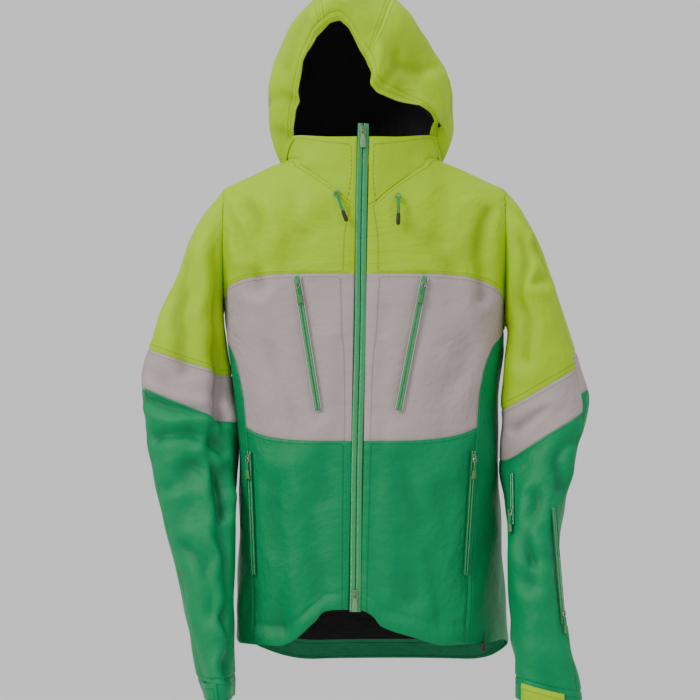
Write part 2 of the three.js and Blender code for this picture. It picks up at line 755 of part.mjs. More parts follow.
// The free ends of the hood's cord hang from an eyelet on each side of the zip.
const CORD_ROUTES = {
  right: [
    [-38, -120, -77],
    [-38, -125.5, -77.6],
    [-37.4, -128.5, -80],
    [-36, -130, -84],
    [-33.8, -130.6, -90],
    [-31.4, -131, -97],
    [-28.8, -131.2, -104],
  ],
  left: [
    [51, -120, -81],
    [51, -125.5, -81.6],
    [51, -128.5, -84],
    [51.2, -130, -88],
    [51.3, -130.6, -94],
    [51.3, -131, -101],
    [51.2, -131.2, -108],
  ],
};

function cordShape(points) {
  const curve = new THREE.CatmullRomCurve3(points);
  const section = new THREE.Shape();
  const radius = CORD_DIAMETER / 2;
  for (let i = 0; i <= 8; i++) {
    const angle = (Math.PI / 4) * i;
    if (i === 0) section.moveTo(radius, 0);
    else section.lineTo(radius * Math.cos(angle), radius * Math.sin(angle));
  }
  return new THREE.ExtrudeGeometry(section, {
    steps: 8,
    bevelEnabled: false,
    extrudePath: curve,
  });
}

function addCords() {
  for (const [label, route] of Object.entries(CORD_ROUTES)) {
    const points = route.map((p) => new THREE.Vector3(...p));
    place("hood_cord_" + label, cordShape(points), ZIP_GREEN);
    const [before, tip] = points.slice(-2);
    const along = tip.clone().sub(before).normalize();
    const end = new THREE.Group();
    end.position.copy(tip);
    end.quaternion.setFromUnitVectors(new THREE.Vector3(0, 0, -1), along);
    jacket.add(end);
    const radius = CORD_END_DIAMETER / 2;
    const profile = [
      [0, 0],
      [radius * 0.7, 0],
      [radius, -3],
      [radius, -CORD_END_LENGTH + 2],
      [radius * 0.7, -CORD_END_LENGTH],
      [0, -CORD_END_LENGTH],
    ];
    const points2 = profile.map(([r, z]) => new THREE.Vector2(r, z)).reverse();
    const shape = new THREE.LatheGeometry(points2, 10).rotateX(Math.PI / 2);
    place("cord_end_" + label, shape.translate(0, 0, -PIECE_GAP), BLACK, end);
  }
}

// The hang loop is a strap bent like a flat staple: its two feet are sewn to the collar and its
// top runs level, so that a hook bears on the flat underside.
function addHangLoop() {
  const collarInside = bodyPoint(180, -NECK_DROP, SHELL_THICKNESS).y;
  const width = 2 * (collarInside - 2 * PIECE_GAP);
  const [half, foot] = [LOOP_SPAN / 2, 6];
  const bottom = -LOOP_OPENING;
  const outline = new THREE.Shape();
  outline.moveTo(-half, LOOP_THICKNESS);
  outline.lineTo(-half, bottom);
  outline.lineTo(-half + foot, bottom);
  outline.lineTo(-half + foot, 0);
  outline.lineTo(half - foot, 0);
  outline.lineTo(half - foot, bottom);
  outline.lineTo(half, bottom);
  outline.lineTo(half, LOOP_THICKNESS);
  outline.lineTo(-half, LOOP_THICKNESS);
  const loop = new THREE.ExtrudeGeometry(outline, { depth: width, bevelEnabled: false })
    .rotateX(Math.PI / 2)
    .translate(0, width / 2, 0);
  place("hang_loop", loop, BLACK);
}

addBody();
addCollar();
addHood();
addSleeves();
addMainZip();
addBodyZips();
addForearmZips();
addCords();
addHangLoop();

export default jacket;
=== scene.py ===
# The looks of a hooded ski jacket that hangs by its neck loop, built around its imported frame.
# Shape functions work in millimetres in the frame's axes; meshes are written in metres.
import json
import math

import bmesh
import bpy
import numpy as np
from mathutils import Matrix, Vector
from mathutils.kdtree import KDTree


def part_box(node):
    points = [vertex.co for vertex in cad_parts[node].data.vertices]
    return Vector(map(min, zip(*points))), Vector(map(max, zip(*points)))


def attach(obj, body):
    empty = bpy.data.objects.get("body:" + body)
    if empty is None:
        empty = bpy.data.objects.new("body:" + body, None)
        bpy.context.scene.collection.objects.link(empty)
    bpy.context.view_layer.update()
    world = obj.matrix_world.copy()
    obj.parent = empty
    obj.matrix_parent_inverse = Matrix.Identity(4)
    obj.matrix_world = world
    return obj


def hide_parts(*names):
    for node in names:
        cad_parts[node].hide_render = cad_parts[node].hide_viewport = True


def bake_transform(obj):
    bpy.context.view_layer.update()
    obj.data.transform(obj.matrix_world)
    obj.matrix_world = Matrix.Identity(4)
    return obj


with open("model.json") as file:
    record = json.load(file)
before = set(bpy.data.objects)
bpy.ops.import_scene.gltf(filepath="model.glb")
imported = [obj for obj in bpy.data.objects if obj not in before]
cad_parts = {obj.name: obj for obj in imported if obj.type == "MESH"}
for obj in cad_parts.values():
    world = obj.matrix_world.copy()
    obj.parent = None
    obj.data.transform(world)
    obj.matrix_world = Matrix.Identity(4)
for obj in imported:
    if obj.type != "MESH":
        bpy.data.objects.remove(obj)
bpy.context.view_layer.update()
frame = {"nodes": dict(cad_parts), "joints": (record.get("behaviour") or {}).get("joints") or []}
MM = 0.001
scene = bpy.context.scene

# ---------------------------------------------------------------- camera

CAMERA_DISTANCE = 3.4
VIEW_SIZE = 1.015
VIEW_CENTRE = (-0.0189, -0.13, -0.3045)


def add_camera():
    data = bpy.data.cameras.new("camera")
    data.sensor_width = 36
    data.lens = 36 * CAMERA_DISTANCE / VIEW_SIZE
    camera = bpy.data.objects.new("camera", data)
    x, y, z = VIEW_CENTRE
    camera.location = (x, y - CAMERA_DISTANCE, z)
    camera.rotation_euler = (math.pi / 2, 0, 0)
    scene.collection.objects.link(camera)
    scene.camera = camera


# ---------------------------------------------------------------- sizes shared with the frame

NECK_DROP = 22
SHOULDER_DROP = 73
UNDERARM_DROP = 262
BODY_DROP = 732
FRONT_HEM_RISE = 50
BACK_HEM_FALL = 44
NECK_HALF_WIDTH = 112
CHEST_HALF_WIDTH = 207
WAIST_HALF_WIDTH = 190
HEM_HALF_WIDTH = 196
SHOULDER_HALF_WIDTH = CHEST_HALF_WIDTH + 23
NECK_HALF_DEPTH = 62
CHEST_HALF_DEPTH = 105
HEM_HALF_DEPTH = 108
NECK_FRONT_Y = -114
FRONT_SLOPE = 0.054
BODY_LEAN = 0.018
BODY_TURN = 30
YOKE_DROP = 193
YOKE_SIDE_FALL = 62
CHEST_BAND_DROP = 436
CHEST_BAND_SIDE_RISE = 60
HOOD_HEIGHT = 239
HOOD_HALF_WIDTH = 155
HOOD_BASE_HALF_WIDTH = 119
HOOD_BASE_HALF_DEPTH = 70
FACE_HALF_WIDTH = 112
FACE_HEIGHT = 174
HOOD_TILT_X = -12
BRIM_SHARE = 0.08
CENTRE_STRIP = 0.12
SLEEVE_BODY_GAP = 6
ARMHOLE_GAP = 1.5
SLEEVE_BEND = 125
ARMHOLE_X = CHEST_HALF_WIDTH + 1
ZIP_TOP = 26
ZIP_HALF = 8.8

CLOTH = 1.6
# The wearer's right and left, with the sign of x on each.
SIDES = (("right", -1), ("left", 1))
SIDE_OF = dict(SIDES)

LIME = (0.325, 0.535, 0.0)
GREY = (0.385, 0.31, 0.312)
GREEN = (0.0005, 0.215, 0.07)
ZIP_GREEN = (0.006, 0.27, 0.075)
BLACK = (0.006, 0.007, 0.006)


# ---------------------------------------------------------------- small maths

def smooth(value):
    v = np.clip(value, 0, 1)
    return v * v * (3 - 2 * v)


def through(stations, at):
    """A smooth value through given (place, value) stations, level beyond both ends."""
    places, values = (np.array(c, float) for c in zip(*stations))
    slopes = np.zeros(len(places))
    slopes[1:-1] = (values[2:] - values[:-2]) / (places[2:] - places[:-2])
    at = np.clip(np.asarray(at, float), places[0], places[-1])
    i = np.clip(np.searchsorted(places, at, side="right") - 1, 0, len(places) - 2)
    h = places[i + 1] - places[i]
    k = (at - places[i]) / h
    return (
        values[i] * (1 + 2 * k) * (1 - k) ** 2
        + values[i + 1] * k * k * (3 - 2 * k)
        + slopes[i] * h * k * (1 - k) ** 2
        - slopes[i + 1] * h * k * k * (1 - k)
    )


def unit(v):
    return v / np.maximum(np.linalg.norm(v, axis=-1, keepdims=True), 1e-9)


def run_along(path):
    """How far along a path each of its points lies."""
    return np.concatenate([[0], np.cumsum(np.linalg.norm(np.diff(path, axis=0), axis=1))])


def full_turn(count):
    return np.linspace(0, 2 * math.pi, count, endpoint=False)


def polyline_distance(x, z, points):
    """Distance in the front view from each (x, z) to a line of points."""
    best = np.full(np.shape(x), 1e9)
    for (ax, az), (bx, bz) in zip(points[:-1], points[1:]):
        dx, dz = bx - ax, bz - az
        k = np.clip(((x - ax) * dx + (z - az) * dz) / (dx * dx + dz * dz), 0, 1)
        best = np.minimum(best, np.hypot(x - ax - k * dx, z - az - k * dz))
    return best


def waves(points, wavelength, count, seed, scale=(1, 1, 1)):
    """A smooth random field of about -1 to 1 over space, stretched along an axis by a low scale."""
    random = np.random.default_rng(seed)
    total = np.zeros(points.shape[:-1])
    for _ in range(count):
        direction = unit(random.normal(size=3)) * np.array(scale)
        k = 2 * math.pi / (wavelength * random.uniform(0.7, 1.4))
        total += np.sin(k * (points @ direction) + random.uniform(0, 2 * math.pi))
    return total / math.sqrt(count)


# ---------------------------------------------------------------- body surface

SHOULDER_MEAN = (SHOULDER_HALF_WIDTH + NECK_HALF_WIDTH) / 2
HALF_WIDTH = [
    (-(BODY_DROP + BACK_HEM_FALL), HEM_HALF_WIDTH),
    (-((UNDERARM_DROP + BODY_DROP) / 2 - 62), WAIST_HALF_WIDTH),
    (-UNDERARM_DROP, CHEST_HALF_WIDTH),
    (-(SHOULDER_DROP + 67), SHOULDER_HALF_WIDTH - 4),
    (-(SHOULDER_DROP + 22), SHOULDER_HALF_WIDTH),
    (-SHOULDER_DROP, SHOULDER_HALF_WIDTH - 8),
    (-(SHOULDER_DROP - 16), SHOULDER_MEAN + 18),
    (-(NECK_DROP + 16), SHOULDER_MEAN - 24),
    (-NECK_DROP, NECK_HALF_WIDTH),
]
HALF_DEPTH = [
    (-(BODY_DROP + BACK_HEM_FALL), HEM_HALF_DEPTH),
    (-((UNDERARM_DROP + BODY_DROP) / 2 - 62), CHEST_HALF_DEPTH - 5),
    (-UNDERARM_DROP, CHEST_HALF_DEPTH),
    (-(SHOULDER_DROP + 67), CHEST_HALF_DEPTH - 13),
    (-SHOULDER_DROP, NECK_HALF_DEPTH + 12),
    (-NECK_DROP, NECK_HALF_DEPTH),
]
SQUARENESS = [
    (-(BODY_DROP + BACK_HEM_FALL), 2.5),
    (-UNDERARM_DROP, 2.9),
    (-(SHOULDER_DROP + 67), 3),
    (-(SHOULDER_DROP + 22), 2.2),
    (-SHOULDER_DROP, 1.6),
    (-(NECK_DROP + 20), 1.6),
    (-NECK_DROP, 2.2),
]
SIDE_TOP = -(UNDERARM_DROP + 14)
SIDE_SEAM = [
    (-BODY_DROP, 47),
    (-(BODY_DROP - 92), 50),
    (-CHEST_BAND_DROP, 57),
    (-(UNDERARM_DROP + 84), 58),
    (-(UNDERARM_DROP + 38), 66),
    (SIDE_TOP, 82),
]


def front_y(z):
    return NECK_FRONT_Y + FRONT_SLOPE * z


def zip_x(z):
    return BODY_LEAN * z


def turn_at(z):
    return BODY_TURN * np.clip(-z - NECK_DROP, 0, BODY_DROP) / BODY_DROP


def body_point(u, z, inset=0):
    """The body's surface at angle u, in degrees from the front middle, and height z."""
    u, z = np.broadcast_arrays(np.asarray(u, float), np.asarray(z, float))
    power = 2 / through(SQUARENESS, z)
    s, c = np.sin(np.radians(u)), np.cos(np.radians(u))
    across = np.sign(s) * np.abs(s) ** power
    ahead = np.sign(c) * np.abs(c) ** power
    depth = through(HALF_DEPTH, z)
    x = zip_x(z) + turn_at(z) * (1 - ahead) + (through(HALF_WIDTH, z) - inset) * across
    y = front_y(z) + depth - (depth - inset) * ahead
    return np.stack([x, y, z], -1)


def angle_at(distance, z):
    share = np.clip(distance / through(HALF_WIDTH, z), 0, 1)
    return np.degrees(np.arcsin(share ** (through(SQUARENESS, z) / 2)))


def side_angle(z):
    return through(SIDE_SEAM, z)


def side_share(u):
    return 1 - np.abs(np.cos(np.radians(u)))


def yoke_line(u):
    return -YOKE_DROP - YOKE_SIDE_FALL * side_share(u) ** 1.6


def band_line(u):
    return -CHEST_BAND_DROP + CHEST_BAND_SIDE_RISE * side_share(u) ** 1.5


HEM_RISE = {
    "right": [(0, 53), (9, 50), (12, 37), (21, 10), (30, 0)],
    "left": [(0, 53), (4.5, 44), (7.5, 29), (20, 13), (35, 0)],
}


def hem_line(u):
    turned = (np.asarray(u, float) + 540) % 360 - 180
    right = through(HEM_RISE["right"], -turned)
    left = through(HEM_RISE["left"], turned)
    front = np.where(turned < 0, right, left)
    return -BODY_DROP + front - BACK_HEM_FALL * smooth((np.abs(turned) - 80) / 70)


CHIN_FALL = 75


def chin_line(u):
    """The lower edge of the collar and chin piece: a V that falls towards the zip."""
    return -NECK_DROP - CHIN_FALL * np.clip(1 - np.abs(u) / 62, 0, 1) ** 1.6


def collar_top(u):
    turned = np.abs((np.asarray(u, float) + 540) % 360 - 180)
    return 7 + 4 * smooth((turned - 20) / 40) - 3 * smooth((turned - 60) / 60)


ARMHOLE_SHIFT = zip_x(-UNDERARM_DROP / 2) + turn_at(-UNDERARM_DROP / 2)
HEIGHTS = np.linspace(-280, -20, 521)


def armhole_edge(side, facing):
    """The angle, as a function of height, at which the front or back meets an armhole."""
    plane = ARMHOLE_SHIFT + side * ARMHOLE_X
    low = np.zeros(len(HEIGHTS))
    high = np.full(len(HEIGHTS), 90.0)
    for _ in range(22):
        middle = (low + high) / 2
        angle = side * (middle if facing > 0 else 180 - middle)
        inside = side * (body_point(angle, HEIGHTS)[:, 0] - plane) < 0
        low = np.where(inside, middle, low)
        high = np.where(inside, high, middle)
    return lambda z: np.interp(z, HEIGHTS, low)


ARMHOLES = {(side, facing): armhole_edge(side, facing) for side in (-1, 1) for facing in (1, -1)}


# How gently the yoke's edge turns at the shoulder, in steps of HEIGHTS, which are half a millimetre.
SHOULDER_TURN = 24


def yoke_edge(side, facing):
    """The armhole's edge, but turning in more slowly at the point of the shoulder."""
    table = ARMHOLES[side, facing](HEIGHTS)
    wide = np.array([table[i:i + SHOULDER_TURN].max() for i in range(len(table))])
    level_ends = np.pad(wide, (SHOULDER_TURN // 2, SHOULDER_TURN // 2 - 1), mode="edge")
    slow = np.convolve(level_ends, np.full(SHOULDER_TURN, 1 / SHOULDER_TURN), mode="valid")
    return lambda z: np.interp(z, HEIGHTS, slow)


YOKE_EDGES = {(side, facing): yoke_edge(side, facing) for side in (-1, 1) for facing in (1, -1)}


# ---------------------------------------------------------------- folds

# Creases of the hanging cloth seen from the front: points (x, z), half width, depth.
CREASES = [
    ([(-206, -100), (-188, -128), (-170, -160)], 9, 3.0),
    ([(-164, -92), (-156, -112), (-152, -150), (-156, -210)], 12, 3.4),
    ([(-112, -72), (-100, -92), (-96, -130)], 14, 2.0),
    ([(184, -98), (176, -118), (170, -170), (172, -225)], 12, 3.2),
    ([(116, -78), (108, -96), (112, -140)], 14, 1.8),
    ([(60, -100), (90, -150), (130, -185)], 16, 1.6),
    ([(-60, -110), (-100, -160), (-150, -200)], 18, 1.6),
    ([(-30, -300), (-34, -380), (-26, -430)], 14, 1.6),
    ([(30, -240), (26, -330), (32, -420)], 12, 1.4),
    ([(150, -300), (120, -360), (110, -430)], 20, 1.8),
    ([(-140, -300), (-110, -380), (-90, -430)], 20, 1.8),
    ([(-60, -470), (-80, -560), (-66, -660)], 20, 2.4),
    ([(60, -470), (78, -560), (70, -660)], 20, 2.4),
    ([(-130, -500), (-118, -600), (-124, -700)], 18, 2.6),
    ([(120, -520), (108, -600), (112, -690)], 18, 2.4),
    ([(20, -450), (14, -540), (20, -640)], 14, 1.6),
    ([(-212, -130), (-214, -260), (-208, -400), (-204, -540)], 10, 5.0),
    ([(-262, -180), (-272, -260), (-262, -330)], 14, 3.5),
    ([(-320, -372), (-270, -392), (-214, -400)], 9, 3.5),
    ([(-300, -430), (-250, -424), (-206, -446)], 10, 3.5),
    ([(-286, -500), (-236, -470), (-200, -500)], 12, 3.0),
    ([(-250, -590), (-224, -610), (-210, -680)], 12, 2.5),
    ([(-224, -416), (-206, -540), (-196, -640), (-190, -770)], 7, 4.0),
    ([(263, -150), (268, -188), (256, -208)], 8, 3.5),
    ([(236, -150), (232, -230), (240, -320)], 12, 3.5),
    ([(224, -420), (246, -404), (262, -396)], 8, 2.5),
    ([(250, -520), (236, -560), (240, -640)], 12, 4.0),
    ([(300, -430), (282, -470), (286, -500)], 10, 3.0),
    ([(214, -560), (236, -600), (262, -606)], 9, 2.5),
]


def crease_depth(points):
    x, z = points[..., 0], points[..., 2]
    total = np.zeros(x.shape)
    for number, (line, width, depth) in enumerate(CREASES):
        wander = 3.5 * waves(points, 60, 3, number)
        d = polyline_distance(x + wander, z - wander, line)
        total -= depth * np.exp(-((d / width) ** 2))
        total += 0.55 * depth * np.exp(-(((d - 1.9 * width) / (1.2 * width)) ** 2))
    return total


def drape(points, normals, amount=1.0):
    """How far hanging cloth stands off its plain shape: soft waves and the front's creases."""
    field = 1.5 * waves(points, 120, 5, 1, (1, 1, 0.4))
    field += 0.8 * waves(points, 52, 6, 2, (1, 1, 0.6))
    bent = points + 12 * waves(points, 90, 3, 3)[..., None]
    ridged = 1 - np.abs(waves(bent, 110, 4, 4, (1, 1, 0.5)))
    field += 1.5 * np.clip(ridged, -0.5, 1)
    facing = smooth((-normals[..., 1] - 0.1) / 0.5)
    return amount * field + 1.7 * facing * crease_depth(points)


def quiet_lines():
    """Where cloth lies flat: along the zips, and at the armholes where the sleeves are sewn on."""
    lines = []
    z = np.linspace(ZIP_TOP, -BODY_DROP + FRONT_HEM_RISE, 90)
    lines.append(np.stack([zip_x(z), front_y(z), z], -1))
    for _, side in SIDES:
        lines.append(armhole_loop(side, np.linspace(0, 360, 90)))
        lines += [np.linspace(*chest_ends(side), 40), np.linspace(*hand_ends(side), 40)]
    lines += [np.linspace(*forearm_ends(name), 40) for name in FOREARM_ZIPS]
    return lines


def quiet_tree():
    places = np.concatenate(quiet_lines())
    tree = KDTree(len(places))
    for number, place in enumerate(places):
        tree.insert(place, number)
    tree.balance()
    return tree


def calm(points):
    """0 on a line where cloth lies flat, rising to 1 a few centimetres away."""
    distance = np.array([QUIET.find(p)[2] for p in points.reshape(-1, 3)])
    return 1 - np.exp(-((distance / 17) ** 2)).reshape(points.shape[:-1])


# ---------------------------------------------------------------- where the zips run

CHEST_ZIP = {"top": 197, "bottom": 392, "top_reach": 93, "bottom_reach": 58}
HAND_ZIP = {"top": 452, "bottom": 632}
# Each end of a forearm zip: its ring down the left sleeve and its turn from the outer side.
FOREARM_ZIPS = {
    "sleeve_vent_zip": ((5.4, 140), (6.6, 140)),
    "sleeve_pocket_zip": ((6.5, 65), (8, 44)),
}


def chest_ends(side):
    return [
        body_point(side * angle_at(CHEST_ZIP[end + "_reach"], -CHEST_ZIP[end]), -CHEST_ZIP[end])
        for end in ("top", "bottom")
    ]


def hand_ends(side):
    return [
        body_point(side * (side_angle(-HAND_ZIP[end]) - 2.4), -HAND_ZIP[end])
        for end in ("top", "bottom")
    ]


def forearm_ends(name):
    return [sleeve_point("left", ring, turn) for ring, turn in FOREARM_ZIPS[name]]


# ---------------------------------------------------------------- mesh building

def graded(count, length, edge=(0.7, 1.5, 2.5, 4.0)):
    """Places from 0 to 1 along a length in millimetres, closer together near both ends."""
    marks = [d / length for d in edge if d < length / 4]
    middle = np.linspace(marks[-1], 1 - marks[-1], count) if marks else np.linspace(0, 1, count)
    return np.unique(np.concatenate([[0], marks, middle, [1 - m for m in marks], [1]]))


def grid_normals(points):
    return unit(np.cross(np.gradient(points, axis=1), np.gradient(points, axis=0)))


def add_object(name, mesh, material):
    mesh.materials.append(material)
    obj = bpy.data.objects.new(name, mesh)
    bpy.context.scene.collection.objects.link(obj)
    return obj


def smooth_mesh(name, points, faces):
    mesh = bpy.data.meshes.new(name)
    mesh.from_pydata((points.reshape(-1, 3) * MM).tolist(), [], faces)
    mesh.shade_smooth()
    return mesh


def mark(mesh, key, values):
    """Writes a value or a vector for each of a mesh's points, for its material to read."""
    kind, field = ("FLOAT_VECTOR", "vector") if values.ndim == 3 else ("FLOAT", "value")
    mesh.attributes.new(key, kind, "POINT").data.foreach_set(field, values.ravel())


def cloth_places(across, along):
    """Where each point of a grid lies on its flat cloth, in millimetres."""
    places = np.zeros((len(across), len(along), 3))
    places[..., 0] = across[:, None]
    places[..., 1] = along
    return places


def cloth_mesh(name, outer, material, thickness, marks):
    """A closed sheet of cloth from a grid of outer points: across by down by three."""
    m, n = outer.shape[:2]
    inner = outer - grid_normals(outer) * thickness
    index = np.arange(m * n).reshape(m, n)
    a, b = index[:-1, :-1], index[1:, :-1]
    c, d = index[1:, 1:], index[:-1, 1:]
    top = np.stack([a, d, c, b], -1).reshape(-1, 4)
    faces = [top, top[:, ::-1] + m * n]
    for line in (index[:, 0], index[::-1, -1], index[0, ::-1], index[-1, :]):
        faces.append(np.stack([line[:-1], line[1:], line[1:] + m * n, line[:-1] + m * n], -1))
    mesh = smooth_mesh(name, np.concatenate([outer, inner]), np.concatenate(faces).tolist())
    for key, values in marks.items():
        mark(mesh, key, np.concatenate([values, values]))
    return add_object(name, mesh, material)


def edge_distances(s, t, width, height):
    """The distance in millimetres of each point of a panel from its left, right, top and bottom."""
    across, down = np.meshgrid(s * width, t * height, indexing="ij")
    return {"l": across, "r": width - across, "t": down, "b": height - down}


SEAM_DEPTH = 1.2
SEAM_REACH = 2.2


def seam_roll(distances, edges):
    """How far a sewn edge turns in, over the last few millimetres of a panel."""
    total = np.zeros(distances["l"].shape)
    for edge in edges:
        total = np.maximum(total, SEAM_DEPTH * np.exp(-((distances[edge] / SEAM_REACH) ** 2)))
    return total


def stitch_marks(distances, stitched, seed):
    """Cloth coordinates in millimetres, and the distance from and run along the stitched edges."""
    across, down = distances["l"], distances["t"]
    edge = np.full(across.shape, 99.0)
    run = np.zeros(across.shape)
    for side in stitched:
        near = distances[side] < edge
        edge = np.where(near, distances[side], edge)
        run = np.where(near, down if side in "lr" else across, run)
    cloth = np.stack([across, down, np.full(across.shape, 37.0 * seed)], -1)
    return {"cloth": cloth, "stitch": edge, "run": run}


def panel(name, grid, material, rolls="lrtb", stitched="", amount=1.0, seed=1, cell=3.6,
          thickness=CLOTH, shape=None):
    """A cloth panel over grid(s, t), with soft folds, turned-in seams and rows of stitching."""
    coarse = grid(np.linspace(0, 1, 13), np.linspace(0, 1, 13))
    width = np.linalg.norm(np.diff(coarse, axis=0), axis=-1).sum(0).mean()
    height = np.linalg.norm(np.diff(coarse, axis=1), axis=-1).sum(1).mean()
    s = graded(max(4, int(width / cell)), width)
    t = graded(max(4, int(height / cell)), height)
    points = grid(s, t)
    normals = grid_normals(points)
    lift = drape(points, normals, amount)
    if shape is not None:
        lift = lift + shape(points, t[None, :])
    lift = lift * calm(points)
    distances = edge_distances(s, t, width, height)
    marks = stitch_marks(distances, stitched, seed)
    # Painted shade: how deep each point lies in a crease, for the cloth material to darken.
    marks["crease_shade"] = np.clip(-lift / 6, 0, 1)
    lift = lift - seam_roll(distances, rolls)
    points = points + normals * lift[..., None]
    obj = cloth_mesh(name, points, material, thickness, marks=marks)
    declare_sheet(grid(s, t))
    return obj


def declare_sheet(points):
    """Works out the steps across and down a panel's plain shape; nothing is declared or kept."""
    across, down = np.diff(points, axis=0), np.diff(points, axis=1)


SETTLING_ROUNDS = 14


def body_grid(edges, levels, inset=0, sag=0):
    """A panel between two lines of angles and two of heights, each found from the other in rounds."""

    def grid(s, t):
        s, t = s[:, None], t[None, :]
        z = np.full((s.shape[0], t.shape[1]), -BODY_DROP / 2)
        for _ in range(SETTLING_ROUNDS):
            u0, u1 = (edge(z) for edge in edges)
            u = u0 + (u1 - u0) * s
            z0, z1 = (line(u) for line in levels)
            z = z0 + (z1 - z0) * t
        points = body_point(u, z, inset)
        points[..., 2] -= sag * smooth((z + UNDERARM_DROP) / 120)
        return points

    return grid


def between_armholes(grid):
    def cut(s, t):
        points = grid(s, t)
        low, high = ARMHOLE_SHIFT - ARMHOLE_X, ARMHOLE_SHIFT + ARMHOLE_X
        points[..., 0] = np.clip(points[..., 0], low, high)
        return points

    return cut


def level(value):
    return lambda at: np.full(np.shape(at), float(value))


def ordered(side, near, far):
    return [near, far] if side > 0 else [far, near]


# ---------------------------------------------------------------- materials

class Shader:
    """A material with its nodes made by short calls."""

    def __init__(self, name, colour, roughness, **settings):
        self.material = bpy.data.materials.new(name)
        self.material.use_nodes = True
        self.nodes = self.material.node_tree.nodes
        self.links = self.material.node_tree.links
        self.shader = self.nodes["Principled BSDF"]
        self.shader.inputs["Base Color"].default_value = (*colour, 1)
        self.shader.inputs["Roughness"].default_value = roughness
        for key, value in settings.items():
            self.shader.inputs[key.replace("_", " ")].default_value = value

    def add(self, kind, **settings):
        node = self.nodes.new("ShaderNode" + kind)
        for key, value in settings.items():
            setattr(node, key, value)
        return node

    def plug(self, source, target):
        self.links.new(source, target)

    def attribute(self, name, output="Fac"):
        return self.add("Attribute", attribute_name=name).outputs[output]

    def feed(self, socket, value):
        """Sets a socket to a number or a colour, or links it to another node's output."""
        if isinstance(value, tuple):
            socket.default_value = (*value, 1)
        elif isinstance(value, (int, float)):
            socket.default_value = value
        else:
            self.plug(value, socket)

    def math(self, operation, *values, clamp=False):
        node = self.add("Math", operation=operation, use_clamp=clamp)
        for socket, value in zip(node.inputs, values):
            self.feed(socket, value)
        return node.outputs[0]

    def noise(self, vector, scale, detail=3.0):
        node = self.add("TexNoise")
        node.inputs["Scale"].default_value = scale
        node.inputs["Detail"].default_value = detail
        self.plug(vector, node.inputs["Vector"])
        return node.outputs["Fac"]

    def mix(self, share, first, second):
        node = self.add("Mix", data_type="RGBA")
        for place, value in ((0, share), (6, first), (7, second)):
            self.feed(node.inputs[place], value)
        return node.outputs[2]

    def bump(self, height, distance, strength=1.0, below=None):
        node = self.add("Bump")
        node.inputs["Distance"].default_value = distance
        node.inputs["Strength"].default_value = strength
        self.plug(height, node.inputs["Height"])
        if below is not None:
            self.plug(below, node.inputs["Normal"])
        return node.outputs["Normal"]


def shade(colour, factor):
    return tuple(c * factor for c in colour)


WEAVE_PITCH = 0.9
STITCH_INSET = 5.5
STITCH_WIDTH = 0.9
STITCH_PITCH = 3.2


def cloth_material(name, colour, roughness=0.6, thread=0.55):
    """Woven shell cloth: a fine weave, soft puckers, rows of stitching and painted shade that darkens
    its folds.
    """
    m = Shader(name, colour, roughness, Sheen_Weight=0.1, Specular_IOR_Level=0.22)
    m.shader.inputs["Sheen Roughness"].default_value = 0.5
    m.shader.inputs["Sheen Tint"].default_value = (*colour, 1)
    where = m.attribute("cloth", "Vector")
    split = m.add("SeparateXYZ")
    m.plug(where, split.inputs[0])
    warp = m.math("SINE", m.math("MULTIPLY", split.outputs[0], 2 * math.pi / WEAVE_PITCH))
    weft = m.math("SINE", m.math("MULTIPLY", split.outputs[1], 2 * math.pi / WEAVE_PITCH))
    weave = m.math("MULTIPLY", warp, weft)
    stitch = m.math("ABSOLUTE", m.math("SUBTRACT", m.attribute("stitch"), STITCH_INSET))
    line = m.math("SUBTRACT", 1.0, m.math("DIVIDE", stitch, STITCH_WIDTH), clamp=True)
    dash = m.math("SINE", m.math("MULTIPLY", m.attribute("run"), 2 * math.pi / STITCH_PITCH))
    dash = m.math("MULTIPLY", m.math("ADD", dash, 0.6), 2.0, clamp=True)
    broad = m.noise(where, 0.012, 2.0)
    fine = m.noise(where, 0.5, 2.0)
    tone = m.math("ADD", m.math("MULTIPLY", broad, 0.16), m.math("MULTIPLY", fine, 0.08))
    base = m.mix(tone, shade(colour, 1.06), shade(colour, 0.72))
    # Painted shade: the cloth's colour darkens in its creases, down to 0.38 of itself.
    crease_shaded = m.mix(m.math("MULTIPLY", m.attribute("crease_shade"), 0.45), base, shade(colour, 0.38))
    sewn = m.mix(m.math("MULTIPLY", line, dash), crease_shaded, shade(colour, thread))
    m.plug(sewn, m.shader.inputs["Base Color"])
    worn = m.math("ADD", roughness - 0.08, m.math("MULTIPLY", broad, 0.16))
    m.plug(worn, m.shader.inputs["Roughness"])
    soft = m.bump(m.noise(where, 0.028, 3.0), 0.0042)
    pucker = m.bump(m.noise(where, 0.11, 2.0), 0.0009, below=soft)
    woven = m.bump(weave, 0.00005, 0.5, below=pucker)
    sunk = m.bump(m.math("SUBTRACT", 1.0, line), 0.0006, 0.8, below=woven)
    m.plug(sunk, m.shader.inputs["Normal"])
    return m.material


def plain_material(name, colour, roughness, metallic=0.0, coat=0.0):
    """Moulded plastic or painted metal, with a little variation and a fine grain."""
    m = Shader(name, colour, roughness, Metallic=metallic, Coat_Weight=coat)
    where = m.add("TexCoord").outputs["Object"]
    spots = m.noise(where, 225.0, 3.0)
    tone = m.mix(m.math("MULTIPLY", spots, 0.3), colour, shade(colour, 0.7))
    m.plug(tone, m.shader.inputs["Base Color"])
    worn = m.math("ADD", roughness - 0.06, m.math("MULTIPLY", spots, 0.14))
    m.plug(worn, m.shader.inputs["Roughness"])
    m.plug(m.bump(m.noise(where, 900.0, 2.0), 0.00012, 0.5), m.shader.inputs["Normal"])
    return m.material


